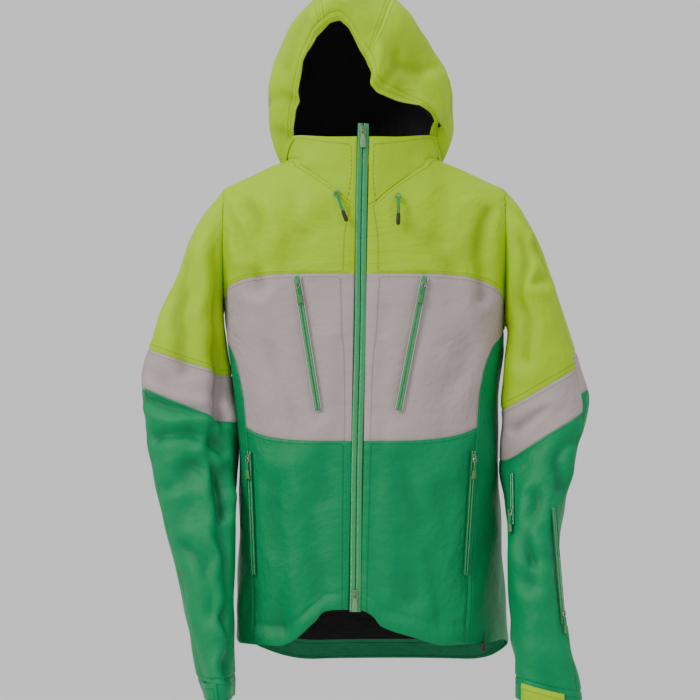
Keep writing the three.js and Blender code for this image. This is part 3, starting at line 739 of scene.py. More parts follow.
def ribbed_material(name, colour, roughness, pitch, depth, coat=0.0):
    """A coated tape or a braid: ribs across its run, which is the cloth attribute's second axis."""
    m = Shader(name, colour, roughness, Coat_Weight=coat, Specular_IOR_Level=0.5)
    where = m.attribute("cloth", "Vector")
    split = m.add("SeparateXYZ")
    m.plug(where, split.inputs[0])
    ribs = m.math("SINE", m.math("MULTIPLY", split.outputs[1], 2 * math.pi / pitch))
    broad = m.noise(where, 0.03, 3.0)
    tone = m.mix(m.math("MULTIPLY", broad, 0.5), shade(colour, 1.1), shade(colour, 0.6))
    m.plug(tone, m.shader.inputs["Base Color"])
    soft = m.bump(broad, 0.003)
    m.plug(m.bump(ribs, depth, below=soft), m.shader.inputs["Normal"])
    return m.material


# Each cloth with the material slot that it takes.
CLOTHS = {
    "lime": (cloth_material("lime_cloth", LIME), "lime_shell"),
    "grey": (cloth_material("grey_cloth", GREY), "grey_shell"),
    "green": (cloth_material("green_cloth", GREEN, roughness=0.5, thread=0.5), "green_shell"),
    "facing": (cloth_material("facing_cloth", (0.008, 0.18, 0.07)), "green_shell"),
    "lining": (cloth_material("lining_cloth", BLACK, roughness=0.7, thread=0.4), "lining"),
}
EDGE_CLOTH = plain_material("cut_edge", (0.42, 0.5, 0.38), 0.8)
GREEN_EDGE = plain_material("green_cut_edge", shade(GREEN, 0.6), 0.8)
ZIP_TAPE = ribbed_material("coated_tape", ZIP_GREEN, 0.24, 1.7, 0.00012, coat=0.5)
CORD_GREEN = ribbed_material("braided_cord", (0.02, 0.3, 0.09), 0.7, 1.2, 0.0002)
PULLER_PLASTIC = plain_material("puller_plastic", (0.045, 0.20, 0.055), 0.42)
PALE_PULLER = plain_material("pale_puller_paint", (0.13, 0.30, 0.12), 0.35, coat=0.3)
SLIDER_PAINT = plain_material("slider_paint", (0.12, 0.24, 0.11), 0.32, metallic=0.35)
BARE_METAL = plain_material("ring_metal", (0.42, 0.50, 0.40), 0.25, metallic=0.9)
BLACK_RUBBER = plain_material("black_rubber", (0.012, 0.013, 0.012), 0.5)
LOOP_TAPE = ribbed_material("loop_tape", BLACK, 0.7, 1.4, 0.0002)


# ---------------------------------------------------------------- placing pieces

def show(obj, body, slot, *nodes):
    """Puts a finished piece on its body, in place of the nodes it stands for; the slot is not used."""
    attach(obj, body)
    if nodes:
        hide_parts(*nodes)
    return obj


def bend(obj, slot, between, start, end, *nodes):
    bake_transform(obj)
    if nodes:
        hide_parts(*nodes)
    return obj


def sewn(name, grid, cloth, *nodes, body="root", **settings):
    """A cloth panel that rides on one body."""
    material, slot = CLOTHS[cloth]
    return show(panel(name, grid, material, **settings), body, slot, *nodes)


def sewn_across(name, grid, cloth, joint, *nodes, **settings):
    """A cloth panel that crosses a joint, which is (bodies, start, end); the joint is not used."""
    material, slot = CLOTHS[cloth]
    return bend(panel(name, grid, material, **settings), slot, *joint, *nodes)


def rounded_box(name, size, at, material, radius=0.6, basis=None):
    """A box with rounded edges, in millimetres, about a point, turned by an optional basis."""
    mesh = bpy.data.meshes.new(name)
    shape = bmesh.new()
    bmesh.ops.create_cube(shape, size=1)
    bmesh.ops.scale(shape, vec=Vector(size), verts=shape.verts)
    bmesh.ops.bevel(shape, geom=shape.edges[:], offset=radius, segments=3, affect="EDGES", profile=0.5)
    turn = basis.to_4x4() if basis is not None else Matrix.Identity(4)
    shape.transform(Matrix.Scale(MM, 4) @ Matrix.Translation(at) @ turn)
    shape.to_mesh(mesh)
    shape.free()
    mesh.shade_smooth()
    return add_object(name, mesh, material)


def swept(name, path, radii, material, around=12, flat_axis=(0.13, 0.97, 0.2), closed=False):
    """A tube along a path in millimetres: one radius, one for each point, or (wide, thick) for each."""
    path = np.asarray(path, float)
    count = len(path)
    if closed:
        tangent = unit(np.roll(path, -1, 0) - np.roll(path, 1, 0))
    else:
        tangent = unit(np.gradient(path, axis=0))
    across = unit(np.cross(tangent, flat_axis))
    other = np.cross(tangent, across)
    angle = full_turn(around)
    radii = np.asarray(radii, float)
    if radii.ndim < 2:
        radii = np.broadcast_to(radii.reshape(-1, 1), (count, 1))
    wide, thick = radii[:, :1], radii[:, -1:]
    ring = (
        path[:, None]
        + (wide * np.cos(angle))[..., None] * across[:, None]
        + (thick * np.sin(angle))[..., None] * other[:, None]
    )
    index = np.arange(count * around).reshape(count, around)
    rows = np.concatenate([index, index[:1]]) if closed else index
    rows = np.concatenate([rows, rows[:, :1]], 1)
    corners = [rows[:-1, :-1], rows[:-1, 1:], rows[1:, 1:], rows[1:, :-1]]
    faces = np.stack(corners, -1).reshape(-1, 4).tolist()
    if not closed:
        faces += [index[0, ::-1].tolist(), index[-1].tolist()]
    mesh = smooth_mesh(name, ring, faces)
    mark(mesh, "cloth", np.swapaxes(cloth_places(angle, run_along(path)), 0, 1))
    return add_object(name, mesh, material)


def smooth_path(points, count):
    """A smooth line through a few chosen points."""
    points = np.asarray(points, float)
    length = run_along(points)
    at = np.linspace(0, length[-1], count)
    return np.stack([through(list(zip(length, points[:, i])), at) for i in range(3)], -1)


# ---------------------------------------------------------------- cords

CORD_DIAMETER = 2.2
CORD_ROUTES = {
    "right": [
        (-38, -120, -77), (-38, -125.5, -77.6), (-37.4, -128.5, -80), (-36, -130, -84),
        (-33.8, -130.6, -90), (-31.4, -131, -97), (-28.8, -131.2, -104),
    ],
    "left": [
        (51, -120, -81), (51, -125.5, -81.6), (51, -128.5, -84), (51.2, -130, -88),
        (51.3, -130.6, -94), (51.3, -131, -101), (51.2, -131.2, -108),
    ],
}


def add_cords():
    for label, _ in SIDES:
        body = f"hood_cord_{label}_body"
        route = np.array(CORD_ROUTES[label], float)
        fall = unit(route[-1] - route[-2])
        tip = [route[-1] + fall * drop for drop in (-2, 1, 9, 15)]
        end = swept(f"cord_end_{label}", smooth_path(tip, 14),
                    through([(0, 2.4), (2, 2.9), (10, 3.1), (13, 2.2)], np.arange(14)), BLACK_RUBBER)
        show(end, body, "cord_end", f"cord_end_{label}")
        for strand, shift in (("outer", -1.25), ("inner", 1.25)):
            path = smooth_path(route + np.array([shift, 0, 0]), 48)
            piece = swept(f"hood_cord_{label}_{strand}", path, CORD_DIAMETER / 2, CORD_GREEN, 14)
            show(piece, body, "cord", f"hood_cord_{label}")
        eye = route[0] + np.array([0, -1.2, 0])
        ring_turn = full_turn(28)
        ring = eye + 4.2 * np.stack([np.cos(ring_turn), 0 * ring_turn, np.sin(ring_turn)], -1)
        show(swept(f"cord_eyelet_{label}", ring, 1.1, PALE_PULLER, 10, (0, 1, 0), closed=True),
             "root", "slider")


# ---------------------------------------------------------------- body pieces

def zip_angle(z):
    return angle_at(ZIP_HALF, z)


def back_side_angle(z):
    return 180 - side_angle(z)


def mirrored(side, line):
    """A line of angles for one side of the jacket: the wearer's left is 1 and right is -1."""
    return lambda z: side * line(z)


def add_front(label, side):
    near, far = ("l", "r") if side > 0 else ("r", "l")
    seed = 10 if side > 0 else 20
    zip_edge, seam = mirrored(side, zip_angle), mirrored(side, side_angle)
    front = ordered(side, zip_edge, mirrored(side, YOKE_EDGES[side, 1]))
    half = ordered(side, zip_edge, seam)
    flank = ordered(side, seam, mirrored(side, back_side_angle))
    sewn(f"front_yoke_{label}", between_armholes(body_grid(front, [chin_line, yoke_line])), "lime",
         f"yoke_front_{label}", rolls=near + "tb", stitched=near + "tb", seed=seed + 1)
    sewn(f"chest_{label}", body_grid(half, [yoke_line, band_line]), "grey", f"chest_panel_{label}",
         stitched=near + "t" + far, seed=seed + 2)
    sewn(f"lower_front_{label}", body_grid(half, [band_line, hem_line]), "green",
         f"front_lower_{label}", stitched=near + "t" + far, seed=seed + 3, shape=hem_shape)
    sewn(f"side_{label}", body_grid(flank, [level(SIDE_TOP), hem_line]), "green",
         f"side_panel_{label}", stitched="lr", seed=seed + 4)
    sewn(f"underarm_{label}", body_grid(flank, [yoke_line, level(SIDE_TOP)]), "grey", seed=seed + 5)
    collar = ordered(side, zip_edge, level(180 * side))
    sewn(f"collar_{label}_shell", body_grid(collar, [collar_top, chin_line]), "lime",
         f"collar_{label}", stitched=near + "t", amount=0.6, seed=seed + 6)


def add_body():
    for label, side in SIDES:
        add_front(label, side)
    shoulders = [lambda z: 180 - YOKE_EDGES[1, -1](z), lambda z: 180 + YOKE_EDGES[-1, -1](z)]
    sides = [lambda z: 180 - side_angle(z), lambda z: 180 + side_angle(z)]
    yoke = body_grid(shoulders, [level(-NECK_DROP), yoke_line])
    sewn("back_yoke", between_armholes(yoke), "lime", "yoke_back", rolls="tb", stitched="tb", seed=31)
    sewn("back_middle", body_grid(sides, [yoke_line, band_line]), "grey", "back_panel",
         stitched="tlr", seed=32)
    sewn("back_skirt", body_grid(sides, [band_line, hem_line]), "green", "back_lower",
         stitched="tlr", seed=33, shape=hem_shape)
    lining_edges = [lambda z: angle_at(20, z), lambda z: 360 - angle_at(20, z)]
    lining_levels = [level(-NECK_DROP - 8), facing_top]
    sewn("inside_lining", body_grid(lining_edges, lining_levels, inset=9, sag=12), "lining",
         "body_lining", rolls="", amount=0.5, seed=41, cell=7, thickness=0.8)
    facing_levels = [facing_top, lambda u: hem_line(u) + 2]
    sewn("hem_inside", body_grid([level(62), level(298)], facing_levels, inset=4.5), "facing",
         "hem_facing", rolls="tb", stitched="t", amount=0.5, seed=42, thickness=0.8)


def facing_top(u):
    """Where the lining ends and the green facing inside the hem starts."""
    return hem_line(u) + 30


LOWER_PANEL_LENGTH = 270
HEM_STITCH = 26
HEM_EDGE = 12


def hem_shape(_, t):
    """The hem's channel: a shallow groove under the stitched line, and a fuller edge below it."""
    above_hem = (1 - t) * LOWER_PANEL_LENGTH
    groove = 1.6 * np.exp(-(((above_hem - HEM_STITCH) / 4) ** 2))
    fuller = 1.8 * np.exp(-(((above_hem - HEM_EDGE) / 9) ** 2))
    return fuller - groove


# ---------------------------------------------------------------- hood

HOOD_TOP = [
    (0, FACE_HEIGHT), (0.16, HOOD_HEIGHT - 30), (0.4, HOOD_HEIGHT),
    (0.65, HOOD_HEIGHT - 34), (0.85, HOOD_HEIGHT - 140), (1, -NECK_DROP + 6),
]
HOOD_TOP_Y = [(0, -12), (0.16, -14), (0.4, 40), (0.65, 118), (0.85, 164), (1, 140)]
HOOD_WIDTH = [
    (0, FACE_HALF_WIDTH), (0.22, HOOD_HALF_WIDTH - 14), (0.45, HOOD_HALF_WIDTH),
    (0.7, HOOD_HALF_WIDTH - 12), (0.9, HOOD_HALF_WIDTH - 56), (1, HOOD_HALF_WIDTH - 92),
]
# The face opening as it hangs: over the head from the wearer's right, then the brim's droop.
OPENING = [
    (-108, 7), (-94, 87), (-87, 116), (-70, 152), (-48, 171), (-34, 174), (-22, 163), (-4, 130),
    (7, 113), (12, 97), (13, 80), (22, 71), (46, 64), (83, 53), (99, 40), (107, 30), (100, 7),
]
DROOP_FORWARD = 26


def opening_at(w):
    points = np.array(OPENING, float)
    run = run_along(points)
    return tuple(np.interp(w * run[-1], run, points[:, i]) for i in range(2))


def hood_plain(t, w):
    c, s = np.cos(np.pi * w), np.sin(np.pi * w)
    base = np.radians(60 + 106 * t)
    width = through(HOOD_WIDTH, t)
    base_x = np.minimum(HOOD_BASE_HALF_WIDTH * np.sin(base), width)
    base_y = front_y(0) + HOOD_BASE_HALF_DEPTH * (1 - np.cos(base))
    base_z = -NECK_DROP - 5 + 34 * (1 - smooth(t / 0.3))
    waisted = (base_x / width - 1) * (1 - s) ** 4
    rise = np.clip(s, 0, 1) ** 1.1
    x = -width * (c + np.sign(c) * waisted) + HOOD_TILT_X * s
    y = base_y + (front_y(0) + through(HOOD_TOP_Y, t) - base_y) * rise
    z = base_z + (through(HOOD_TOP, t) - base_z) * rise
    return np.stack(np.broadcast_arrays(x, y, z), -1)


def hood_point(t, w):
    """The hood as it hangs: its plain shape, pulled at the front to the drooping opening."""
    t, w = np.broadcast_arrays(np.asarray(t, float), np.asarray(w, float))
    points = hood_plain(t, w)
    edge = hood_plain(np.zeros_like(t), w)
    x, z = opening_at(w)
    pull = (1 - smooth(t / 0.52)) ** 1.3
    points[..., 0] += (x - edge[..., 0]) * pull
    points[..., 2] += (z - edge[..., 2]) * pull
    droop = smooth((w - 0.6) / 0.1) * smooth((1.0 - w) / 0.14)
    points[..., 1] -= DROOP_FORWARD * droop * (1 - smooth(t / 0.4))
    points[..., 2] -= 7 * droop * np.exp(-(((t - 0.2) / 0.07) ** 2))
    points[..., 1] += 10 * droop * np.exp(-(((t - 0.2) / 0.06) ** 2))
    return points


def hood_grid(w0, w1, t0, t1, inset=0):
    def grid(s, t):
        depth = (t0 + (t1 - t0) * (1 - t))[None, :]
        over = (w0 + (w1 - w0) * s)[:, None]
        points = hood_point(depth, over)
        if inset:
            points = points - grid_normals(points) * inset
        return points

    return grid


# Creases of the hood seen from the front: points (x, z), half width, depth.
HOOD_CREASES = [
    ([(-150, 62), (-120, 70), (-98, 60)], 8, 4.5),
    ([(-128, 20), (-110, 10), (-92, -12)], 9, 4.0),
    ([(112, 20), (128, 48), (126, 92)], 9, 4.0),
    ([(54, 112), (84, 104), (118, 116)], 8, 3.0),
    ([(-112, 110), (-104, 150), (-86, 176)], 9, 3.0),
    ([(30, 80), (44, 100), (50, 130)], 7, 3.0),
]


def hood_folds(points, _):
    x, y, z = (points[..., i] for i in range(3))
    lift = 2.0 * waves(points, 95, 4, 61) + 1.0 * waves(points, 45, 5, 62)
    for line, width, depth in HOOD_CREASES:
        lift = lift - depth * np.exp(-((polyline_distance(x, z, line) / width) ** 2)) * (y < -40)
    return lift


def neck_seam(side):
    """Where the hood is sewn on: cloth across the gap between the collar and the hood's base."""

    def grid(s, t):
        depth = 0.01 + 0.6 * (s if side < 0 else 1 - s)
        base = hood_point(depth, np.full(len(s), 0.0 if side < 0 else 1.0))
        collar = body_point(side * (60 + 106 * depth), base[:, 2], inset=-0.4)
        collar[:, 2] = base[:, 2] - 2
        across = t[None, :, None]
        return collar[:, None] * across + base[:, None] * (1 - across)

    return grid


HOOD_JOINT = (("root", "hood"), (0, 0, -10), (0, 0, 70))


def add_hood():
    low, high = 0.5 - CENTRE_STRIP, 0.5 + CENTRE_STRIP
    pieces = [
        ("hood_right_side", 0, low, BRIM_SHARE, 1, "r", "hood_side_right", 51),
        ("hood_left_side", high, 1, BRIM_SHARE, 1, "l", "hood_side_left", 52),
        ("hood_middle", low, high, BRIM_SHARE, 1, "lr", "hood_centre", 53),
        ("hood_edge", 0, 1, 0, BRIM_SHARE, "tb", "hood_brim", 54),
    ]
    for name, w0, w1, t0, t1, stitched, node, seed in pieces:
        sewn_across(name, hood_grid(w0, w1, t0, t1), "lime", HOOD_JOINT, node, stitched=stitched,
                    amount=0.5, seed=seed, shape=hood_folds)
    sewn_across("hood_inside", hood_grid(0.01, 0.99, 0.02, 0.97, inset=5), "lining", HOOD_JOINT,
                "hood_lining", rolls="", amount=0.4, seed=55, cell=6, thickness=0.8, shape=hood_folds)
    for label, side in SIDES:
        sewn_across(f"hood_neck_seam_{label}", neck_seam(side), "lime", HOOD_JOINT, rolls="",
                    amount=0.2, seed=57)


# ---------------------------------------------------------------- sleeves

# Each ring: drop to its inner side, rise and spread to its outer side, depth, share of the bend.
RINGS = {
    "right": [
        (252, 178, 2, 60, 0), (266, 150, 36, 65, 0.02), (285, 105, 66, 67, 0.04),
        (312, 66, 97, 65, 0.07), (343, 41, 122, 62, 0.11), (413, 56, 140, 58, 0.2),
        (480, 30, 130, 57, 0.38), (580, 5, 98, 56, 0.62), (696, 0, 66, 55, 0.86),
        (770, 0, 44, 55, 1), (801, 0, 36, 55, 1.05),
    ],
    "left": [
        (252, 180, 2, 60, 0), (266, 150, 36, 65, 0.02), (290, 108, 60, 67, 0.04),
        (325, 75, 86, 65, 0.07), (390, 68, 114, 62, 0.11), (468, 80, 128, 58, 0.2),
        (525, 50, 104, 60, 0.36), (590, 12, 77, 60, 0.58), (696, -2, 78, 54, 0.84),
        (770, -22, 90, 46, 1), (801, -26, 92, 44, 1.06),
    ],
}
SLEEVE_ROUNDNESS = 0.86
ELBOW_RING = 5
CUFF_RING = 9
SLEEVE_Y = front_y(-UNDERARM_DROP) + CHEST_HALF_DEPTH - 12
# The boundaries between a sleeve's colours, in rings: (front panel, back panel).
COLOUR_RINGS = {
    "right": [(4.0, 4.0), (5.0, 5.05)],
    "left": [(4.05, 3.78), (5.0, 4.62)],
}
SEAM_TURNS = {"right": (28, 205), "left": (38, 205)}


def armhole_loop(side, turn):
    """The armhole's edge at each turn round the sleeve, in degrees from its top."""
    table = ARMHOLES[side, 1](HEIGHTS)
    open_heights = HEIGHTS[table < 89.5]
    low, high = open_heights.min(), open_heights.max()
    z = (low + high) / 2 + (high - low) / 2 * np.cos(np.radians(turn))
    front = body_point(side * ARMHOLES[side, 1](z), z)
    back = body_point(side * (180 - ARMHOLES[side, -1](z)), z)
    share = (0.5 + 0.5 * np.sign(np.sin(np.radians(turn))))[..., None]
    loop = front * share + back * (1 - share)
    loop[..., 0] = ARMHOLE_SHIFT + side * (ARMHOLE_X + 0.4)
    return loop


def sleeve_point(label, at, turn):
    """The sleeve's surface: at counts rings down it, and turn runs in degrees over the front."""
    side = SIDE_OF[label]
    at, turn = np.broadcast_arrays(np.asarray(at, float), np.asarray(turn, float))
    drop, rise, spread, depth, bent = (
        through([(i, ring[k]) for i, ring in enumerate(RINGS[label])], at) for k in range(5)
    )
    inner_z = -drop
    plane = ARMHOLE_SHIFT + side * (ARMHOLE_X + ARMHOLE_GAP)
    width = np.minimum(through(HALF_WIDTH, inner_z), ARMHOLE_X)
    beside = zip_x(inner_z) + turn_at(inner_z) + side * (width + SLEEVE_BODY_GAP)
    inner_x = plane + (beside - plane) * smooth(at / 2)
    inner = np.stack([inner_x, 0 * inner_z, inner_z], -1)
    outer = inner + np.stack([side * spread, 0 * rise, rise], -1)
    centre = (inner + outer) / 2
    centre[..., 1] = SLEEVE_Y - SLEEVE_BEND * bent
    half = np.linalg.norm(outer - inner, axis=-1) / 2
    outward = unit(outer - inner)
    cosine, sine = np.cos(np.radians(turn)), np.sin(np.radians(turn))
    sine = np.sign(sine) * np.abs(sine) ** SLEEVE_ROUNDNESS
    cosine = np.sign(cosine) * np.abs(cosine) ** SLEEVE_ROUNDNESS
    point = centre + outward * (half * cosine)[..., None]
    point[..., 1] -= depth * sine
    first = armhole_loop(side, turn)
    return first + (point - first) * smooth(at / 1.6)[..., None]


def sleeve_grid(label, turns, top, bottom):
    """A panel from one turn to another; top and bottom are rings."""
    side = SIDE_OF[label]

    def grid(s, t):
        turn = turns[0] + (turns[1] - turns[0]) * (s if side < 0 else 1 - s)
        at = top + (bottom - top) * t
        return sleeve_point(label, at[None, :], turn[:, None])

    return grid


def sleeve_folds(label):
    side = SIDE_OF[label]

    def folds(points, _):
        along = -points[..., 2]
        gathered = np.exp(-(((along - 430) / 110) ** 2))
        lift = 1.5 * gathered * waves(points, 46, 4, 70 + side, (0.35, 0.35, 1))
        cuffed = smooth((along - 640) / 90)
        lift = lift + 1.1 * cuffed * waves(points, 40, 4, 80 + side, (0.6, 0.6, 1))
        return lift + 2.2 * waves(points, 62, 4, 90 + side, (1, 1, 0.16))

    return folds


# Where the upper sleeve's turn with the arm would start and end: how far out, and at what height.
# Nothing here bends the sleeve with them.
SHOULDER_BLEND_WIDTH = 24
SHOULDER_BLEND_START_Z = -252
SHOULDER_BLEND_END_Z = -254.6


def add_sleeves():
    for label, side in SIDES:
        arm, forearm = f"{label}_arm", f"{label}_forearm"
        first, second = SEAM_TURNS[label]
        sewn_x = ARMHOLE_SHIFT + side * (ARMHOLE_X + 1)
        shoulder = (("root", arm), (sewn_x, 0, SHOULDER_BLEND_START_Z),
                    (sewn_x + side * SHOULDER_BLEND_WIDTH, 0, SHOULDER_BLEND_END_Z))
        elbow = ((arm, forearm), sleeve_centre(label, ELBOW_RING - 0.4),
                 sleeve_centre(label, ELBOW_RING + 0.6))
        folds = sleeve_folds(label)
        halves = (("front", (first, second), ""), ("back", (second, first + 360), "l"))
        for which, (half, turns, back_seam) in enumerate(halves):
            grey, green = (rings[which] for rings in COLOUR_RINGS[label])
            seed = 60 + 5 * which + (20 if side > 0 else 0)
            parts = [
                ("upper_sleeve", "sleeve_upper", "lime", 0, grey, shoulder, "lrb", "b" + back_seam),
                ("sleeve_band", "sleeve_band", "grey", grey, green, elbow, "lrtb", "t"),
                ("lower_sleeve", "sleeve_lower", "green", green, CUFF_RING, elbow, "lrtb",
                 "t" + back_seam),
            ]
            for number, (part, node, cloth, top, bottom, joint, rolls, stitched) in enumerate(parts):
                sewn_across(f"{label}_{part}_{half}", sleeve_grid(label, turns, top, bottom), cloth,
                            joint, f"{node}_{label}", rolls=rolls, stitched=stitched,
                            seed=seed + number, shape=folds)
        sewn(f"{label}_cuff_shell",
             sleeve_grid(label, (second, second + 360), CUFF_RING, CUFF_RING + 1), "green",
             f"cuff_{label}", body=forearm, stitched="tb", seed=75 + side, shape=folds)
        add_cuff_tab(label, side)


def sleeve_centre(label, at):
    return tuple((sleeve_point(label, at, 0) + sleeve_point(label, at, 180)) / 2)


TAB_LENGTH = 58
TAB_LIFT = 5
WRIST_RADIUS = 46
TAB_START = {"right": 90, "left": 140}


def add_cuff_tab(label, side):
    reach = np.degrees(TAB_LENGTH / WRIST_RADIUS)
    start = TAB_START[label]

    def grid(s, t):
        turn = start - reach * (s if side > 0 else 1 - s)
        at = CUFF_RING + 0.5 + 0.38 * (t - 0.5) * 2
        points = sleeve_point(label, at[None, :], turn[:, None])
        return points + grid_normals(points) * TAB_LIFT

    sewn(f"cuff_tab_{label}_strap", grid, "lime" if side > 0 else "green", f"cuff_tab_{label}",
         body=f"cuff_tab_{label}_body", stitched="lrtb", amount=0.15, seed=95 + side, thickness=2.2,
         cell=2.5)


# ---------------------------------------------------------------- zips

JOINTS = {joint["name"]: joint for joint in frame["joints"]}


def zip_frame(name):
    """A zip's own axes at its slider, in millimetres: across, into the cloth, up; and the bar."""
    flip = JOINTS[name + "_puller_flip"]
    slide = Vector(JOINTS[name + "_slide"]["axis"]).normalized()
    across = -Vector(flip["axis"]).normalized()
    up = slide if slide.z > 0 else -slide
    inward = up.cross(across).normalized()
    basis = Matrix((across, inward, up)).transposed()
    low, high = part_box(name + "_slider")
    middle = (low + high) / 2 / MM
    bar = Vector(flip["pos_m"]) / MM
    return basis, middle, bar


def on_zip(basis, origin, points):
    turn = np.array(basis)
    return np.asarray(points, float) @ turn.T + np.array(origin)


def add_strip(name, path, inward, width, body, nodes, crown=0.9, gap=0.5):
    """Both halves of a coated zip along a path: two low rounded strips with a groove between."""
    tangent = unit(np.gradient(path, axis=0))
    across = unit(np.cross(inward, tangent))
    offsets = np.array([gap / 2, gap / 2 + 0.5, width * 0.3, width * 0.65, width - 0.6, width])
    heights = np.array([-0.5, 0.1, crown, crown * 0.9, 0.25, -0.4])
    marks = {"cloth": cloth_places(offsets, run_along(path))}
    for half, sign in (("right", -1), ("left", 1)):
        grid = path + sign * offsets[:, None, None] * across - heights[:, None, None] * inward
        if sign < 0:
            grid = grid[::-1]
        if np.dot(grid_normals(grid)[2, 3], inward) > 0:
            grid = grid[::-1]
        show(cloth_mesh(f"{name}_{half}", grid, ZIP_TAPE, 1.0, marks), body, "zip_tape", *nodes(half))


def oval(wide, tall, y, z):
    """A closed line of points about (0, y, z) on a zip's axes."""
    turn = full_turn(28)
    return np.stack([wide * np.sin(turn), y + 0 * turn, z + tall * np.cos(turn)], -1)


def add_slider(name, size, puller):
    """A slider with a bridge, and the puller that the function called puller makes."""
    basis, middle, bar = zip_frame(name)
    width, length = size
    body = f"{name}_slider_body"
    front = on_zip(basis, middle, [(0, -1.6, 0)])[0]
    plate = rounded_box(f"{name}_slider_front", (width, 1.6, length), front, SLIDER_PAINT, 0.7, basis)
    show(plate, body, "slider", f"{name}_slider")
    arch = smooth_path([(0, 0, length * 0.36), (0, -2.6, length * 0.2), (0, -3.2, 0),
                        (0, -2.6, -length * 0.2), (0, 0, -length * 0.36)], 22)
    arch[:, 1] -= 2.2
    bridge = swept(f"{name}_slider_bridge", on_zip(basis, middle, arch), 0.9, SLIDER_PAINT, 10)
    show(bridge, body, "slider")
    puller(name, basis, bar, f"{name}_puller_body")


def cord_pull(name, basis, bar, body):
    """A wire ring, two strands of cord and a moulded end."""
    ring = on_zip(basis, bar, oval(2.6, 3.6, -0.2, -3.6))
    show(swept(f"{name}_puller_ring", ring, 0.65, BARE_METAL, 10, closed=True),
         body, "puller", f"{name}_puller")
    for strand, sign in (("outer", -1), ("inner", 1)):
        cord = smooth_path([(0.2 * sign, -0.9, -6.6), (1.0 * sign, -1.2, -9),
                            (1.2 * sign, -1.2, -16), (1.1 * sign, -1.2, -21)], 24)
        show(swept(f"{name}_pull_cord_{strand}", on_zip(basis, bar, cord), 0.95, CORD_GREEN, 10),
             body, "cord")
    end = smooth_path([(0, -1.2, -19), (0, -1.2, -22), (0, -1.2, -31)], 16)
    radii = np.stack([np.linspace(3.4, 5.2, 16), np.full(16, 2.0)], -1)
    radii[0] *= 0.7
    radii[-1] *= 0.82
    inward = np.array(basis)[:, 1]
    show(swept(f"{name}_pull_end", on_zip(basis, bar, end), radii, PULLER_PLASTIC, 20, inward),
         body, "puller")


def tab_puller(name, basis, bar, body):
    """A flat painted tab that hangs from an eye."""
    inward = np.array(basis)[:, 1]
    eye = on_zip(basis, bar, oval(2.9, 3.3, -0.6, -2.2))
    show(swept(f"{name}_puller_eye", eye, 1.15, PALE_PULLER, 12, inward, closed=True),
         body, "puller", f"{name}_puller")
    tab = smooth_path([(0, -0.8, -4.8), (0, -0.9, -8), (0, -0.9, -24)], 24)
    wide = through([(0, 2.2), (5, 3.6), (18, 4.2), (23, 3.2)], np.arange(24))
    radii = np.stack([wide, np.full(24, 1.4)], -1)
    show(swept(f"{name}_puller_tab", on_zip(basis, bar, tab), radii, PALE_PULLER, 20, inward),
         body, "puller")


FLAP_OFFSETS = np.array([-15, -8, 0, 8, 15])


def add_main_zip():
    z = np.linspace(ZIP_TOP, -BODY_DROP + FRONT_HEM_RISE, 240)
    wave = 0.9 * np.sin(z / 46) + 0.5 * np.sin(z / 21 + 1)
    path = np.stack([zip_x(z) + 0.6 * np.sin(z / 60), front_y(z) + 0.4 + wave * 0.6, z], -1)
    add_strip("main_zip_strip", path, np.array([0, 1.0, 0]), 8.2, "root",
              lambda half: [f"main_zip_tape_{half}"])
    flap_path = path[20:-8] + np.array([0, 7, 0])
    flap = np.stack([flap_path + np.array([offset, 0, 0]) for offset in FLAP_OFFSETS])
    marks = {"cloth": cloth_places(np.array([0, 7, 15, 23, 30]), np.abs(z[20:-8] - z[20]))}
    material, slot = CLOTHS["facing"]
    show(cloth_mesh("wind_flap", flap, material, 1.2, marks), "root", slot, "storm_flap")
    for name in ("main_upper", "main_lower"):
        add_slider(name, (9, 15), tab_puller)


def add_cloth_zip(name, body, ends, edging):
    """A short zip with a narrow tape, its cut edges, and a slider with a cord pull."""
    path, inward = tape_line(name, *ends)
    add_strip(f"{name}_strip", path, inward, 4.2, body, lambda half: [f"{name}_tape"], crown=0.7)
    across = unit(np.cross(inward, unit(np.gradient(path, axis=0))))
    for label, side in SIDES:
        edge = path + side * 4.9 * across - 0.2 * inward
        show(swept(f"{name}_edge_{label}", edge, 0.55, edging, 8), body, "zip_tape")
    add_slider(name, (6.2, 10), cord_pull)


def tape_line(name, top, bottom):
    """The straight line of a pocket zip, raised to where its slider runs, and its inward side."""
    basis, middle, _ = zip_frame(name)
    up = np.array(basis)[:, 2]
    centre = np.array(middle)
    steps = np.linspace((top - centre) @ up, (bottom - centre) @ up, 60)
    return centre + steps[:, None] * up, np.array(basis)[:, 1]


def add_zips():
    add_main_zip()
    for label, side in SIDES:
        add_cloth_zip(f"chest_zip_{label}", "root", chest_ends(side), EDGE_CLOTH)
        add_cloth_zip(f"hand_zip_{label}", "root", hand_ends(side), GREEN_EDGE)
    for name in FOREARM_ZIPS:
        add_cloth_zip(name, "left_forearm", forearm_ends(name), GREEN_EDGE)


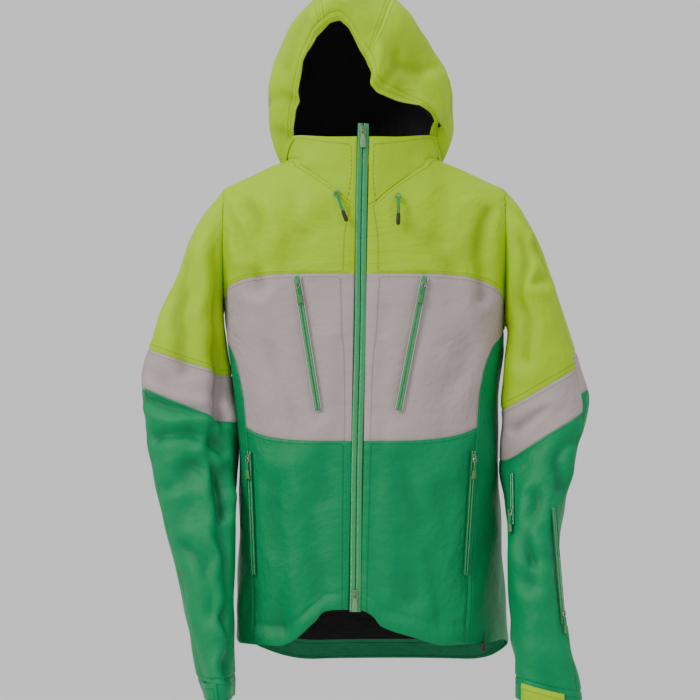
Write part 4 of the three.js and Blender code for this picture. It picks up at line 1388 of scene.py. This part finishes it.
def add_hem_toggle():
    """The black cord lock of the hem's draw cord, at the wearer's left."""
    at = body_point(61, -738) + np.array([0, -3, 0])
    show(rounded_box("hem_cord_lock", (7, 8, 13), at, BLACK_RUBBER, 2), "root", "cord_end")
    cord = smooth_path([at + np.array(v) for v in ((0, 0, 4), (1, 2, 16), (2, 5, 22))], 20)
    show(swept("hem_cord_loop", cord, 1.2, BLACK_RUBBER, 10), "root", "cord_end")


# ---------------------------------------------------------------- floor and light

FLOOR_HALF = 1.5
FLOOR_HEIGHT = -1.05
SKY_POWER = 0.8
LIGHT_TARGET = (0, 0, -0.35)
# Each area light: name, place, size, power.
LIGHTS = (
    ("key", (-2.0, -2.0, 1.6), 1.0, 62),
    ("fill", (2.2, -2.2, 0.0), 2.0, 6),
    ("top", (0.1, -0.2, 2.0), 1.2, 18),
)


def add_floor():
    floor = bpy.data.meshes.new("floor")
    turns = ((-1, -1), (1, -1), (1, 1), (-1, 1))
    corners = [(x * FLOOR_HALF, y * FLOOR_HALF, FLOOR_HEIGHT) for x, y in turns]
    floor.from_pydata(corners, [], [(0, 1, 2, 3)])
    paint = Shader("floor_paint", (0.78, 0.78, 0.77), 0.9)
    add_object("floor", floor, paint.material)


def add_lights():
    world = bpy.data.worlds.new("world")
    scene.world = world
    world.use_nodes = True
    sky = world.node_tree.nodes["Background"]
    sky.inputs[0].default_value = (1, 1, 1, 1)
    sky.inputs[1].default_value = SKY_POWER
    for name, place, size, power in LIGHTS:
        data = bpy.data.lights.new(name, "AREA")
        data.size = size
        data.energy = power
        light = bpy.data.objects.new(name, data)
        light.location = place
        aim = Vector(LIGHT_TARGET) - Vector(place)
        light.rotation_euler = aim.to_track_quat("-Z", "Y").to_euler()
        scene.collection.objects.link(light)


def paint_hang_loop():
    """The hang loop is shown as it is in CAD, in black tape."""
    materials = frame["nodes"]["hang_loop"].data.materials
    materials.clear()
    materials.append(LOOP_TAPE)


add_camera()
QUIET = quiet_tree()
add_cords()
add_body()
add_hood()
add_sleeves()
add_zips()
add_hem_toggle()
add_floor()
add_lights()
paint_hang_loop()
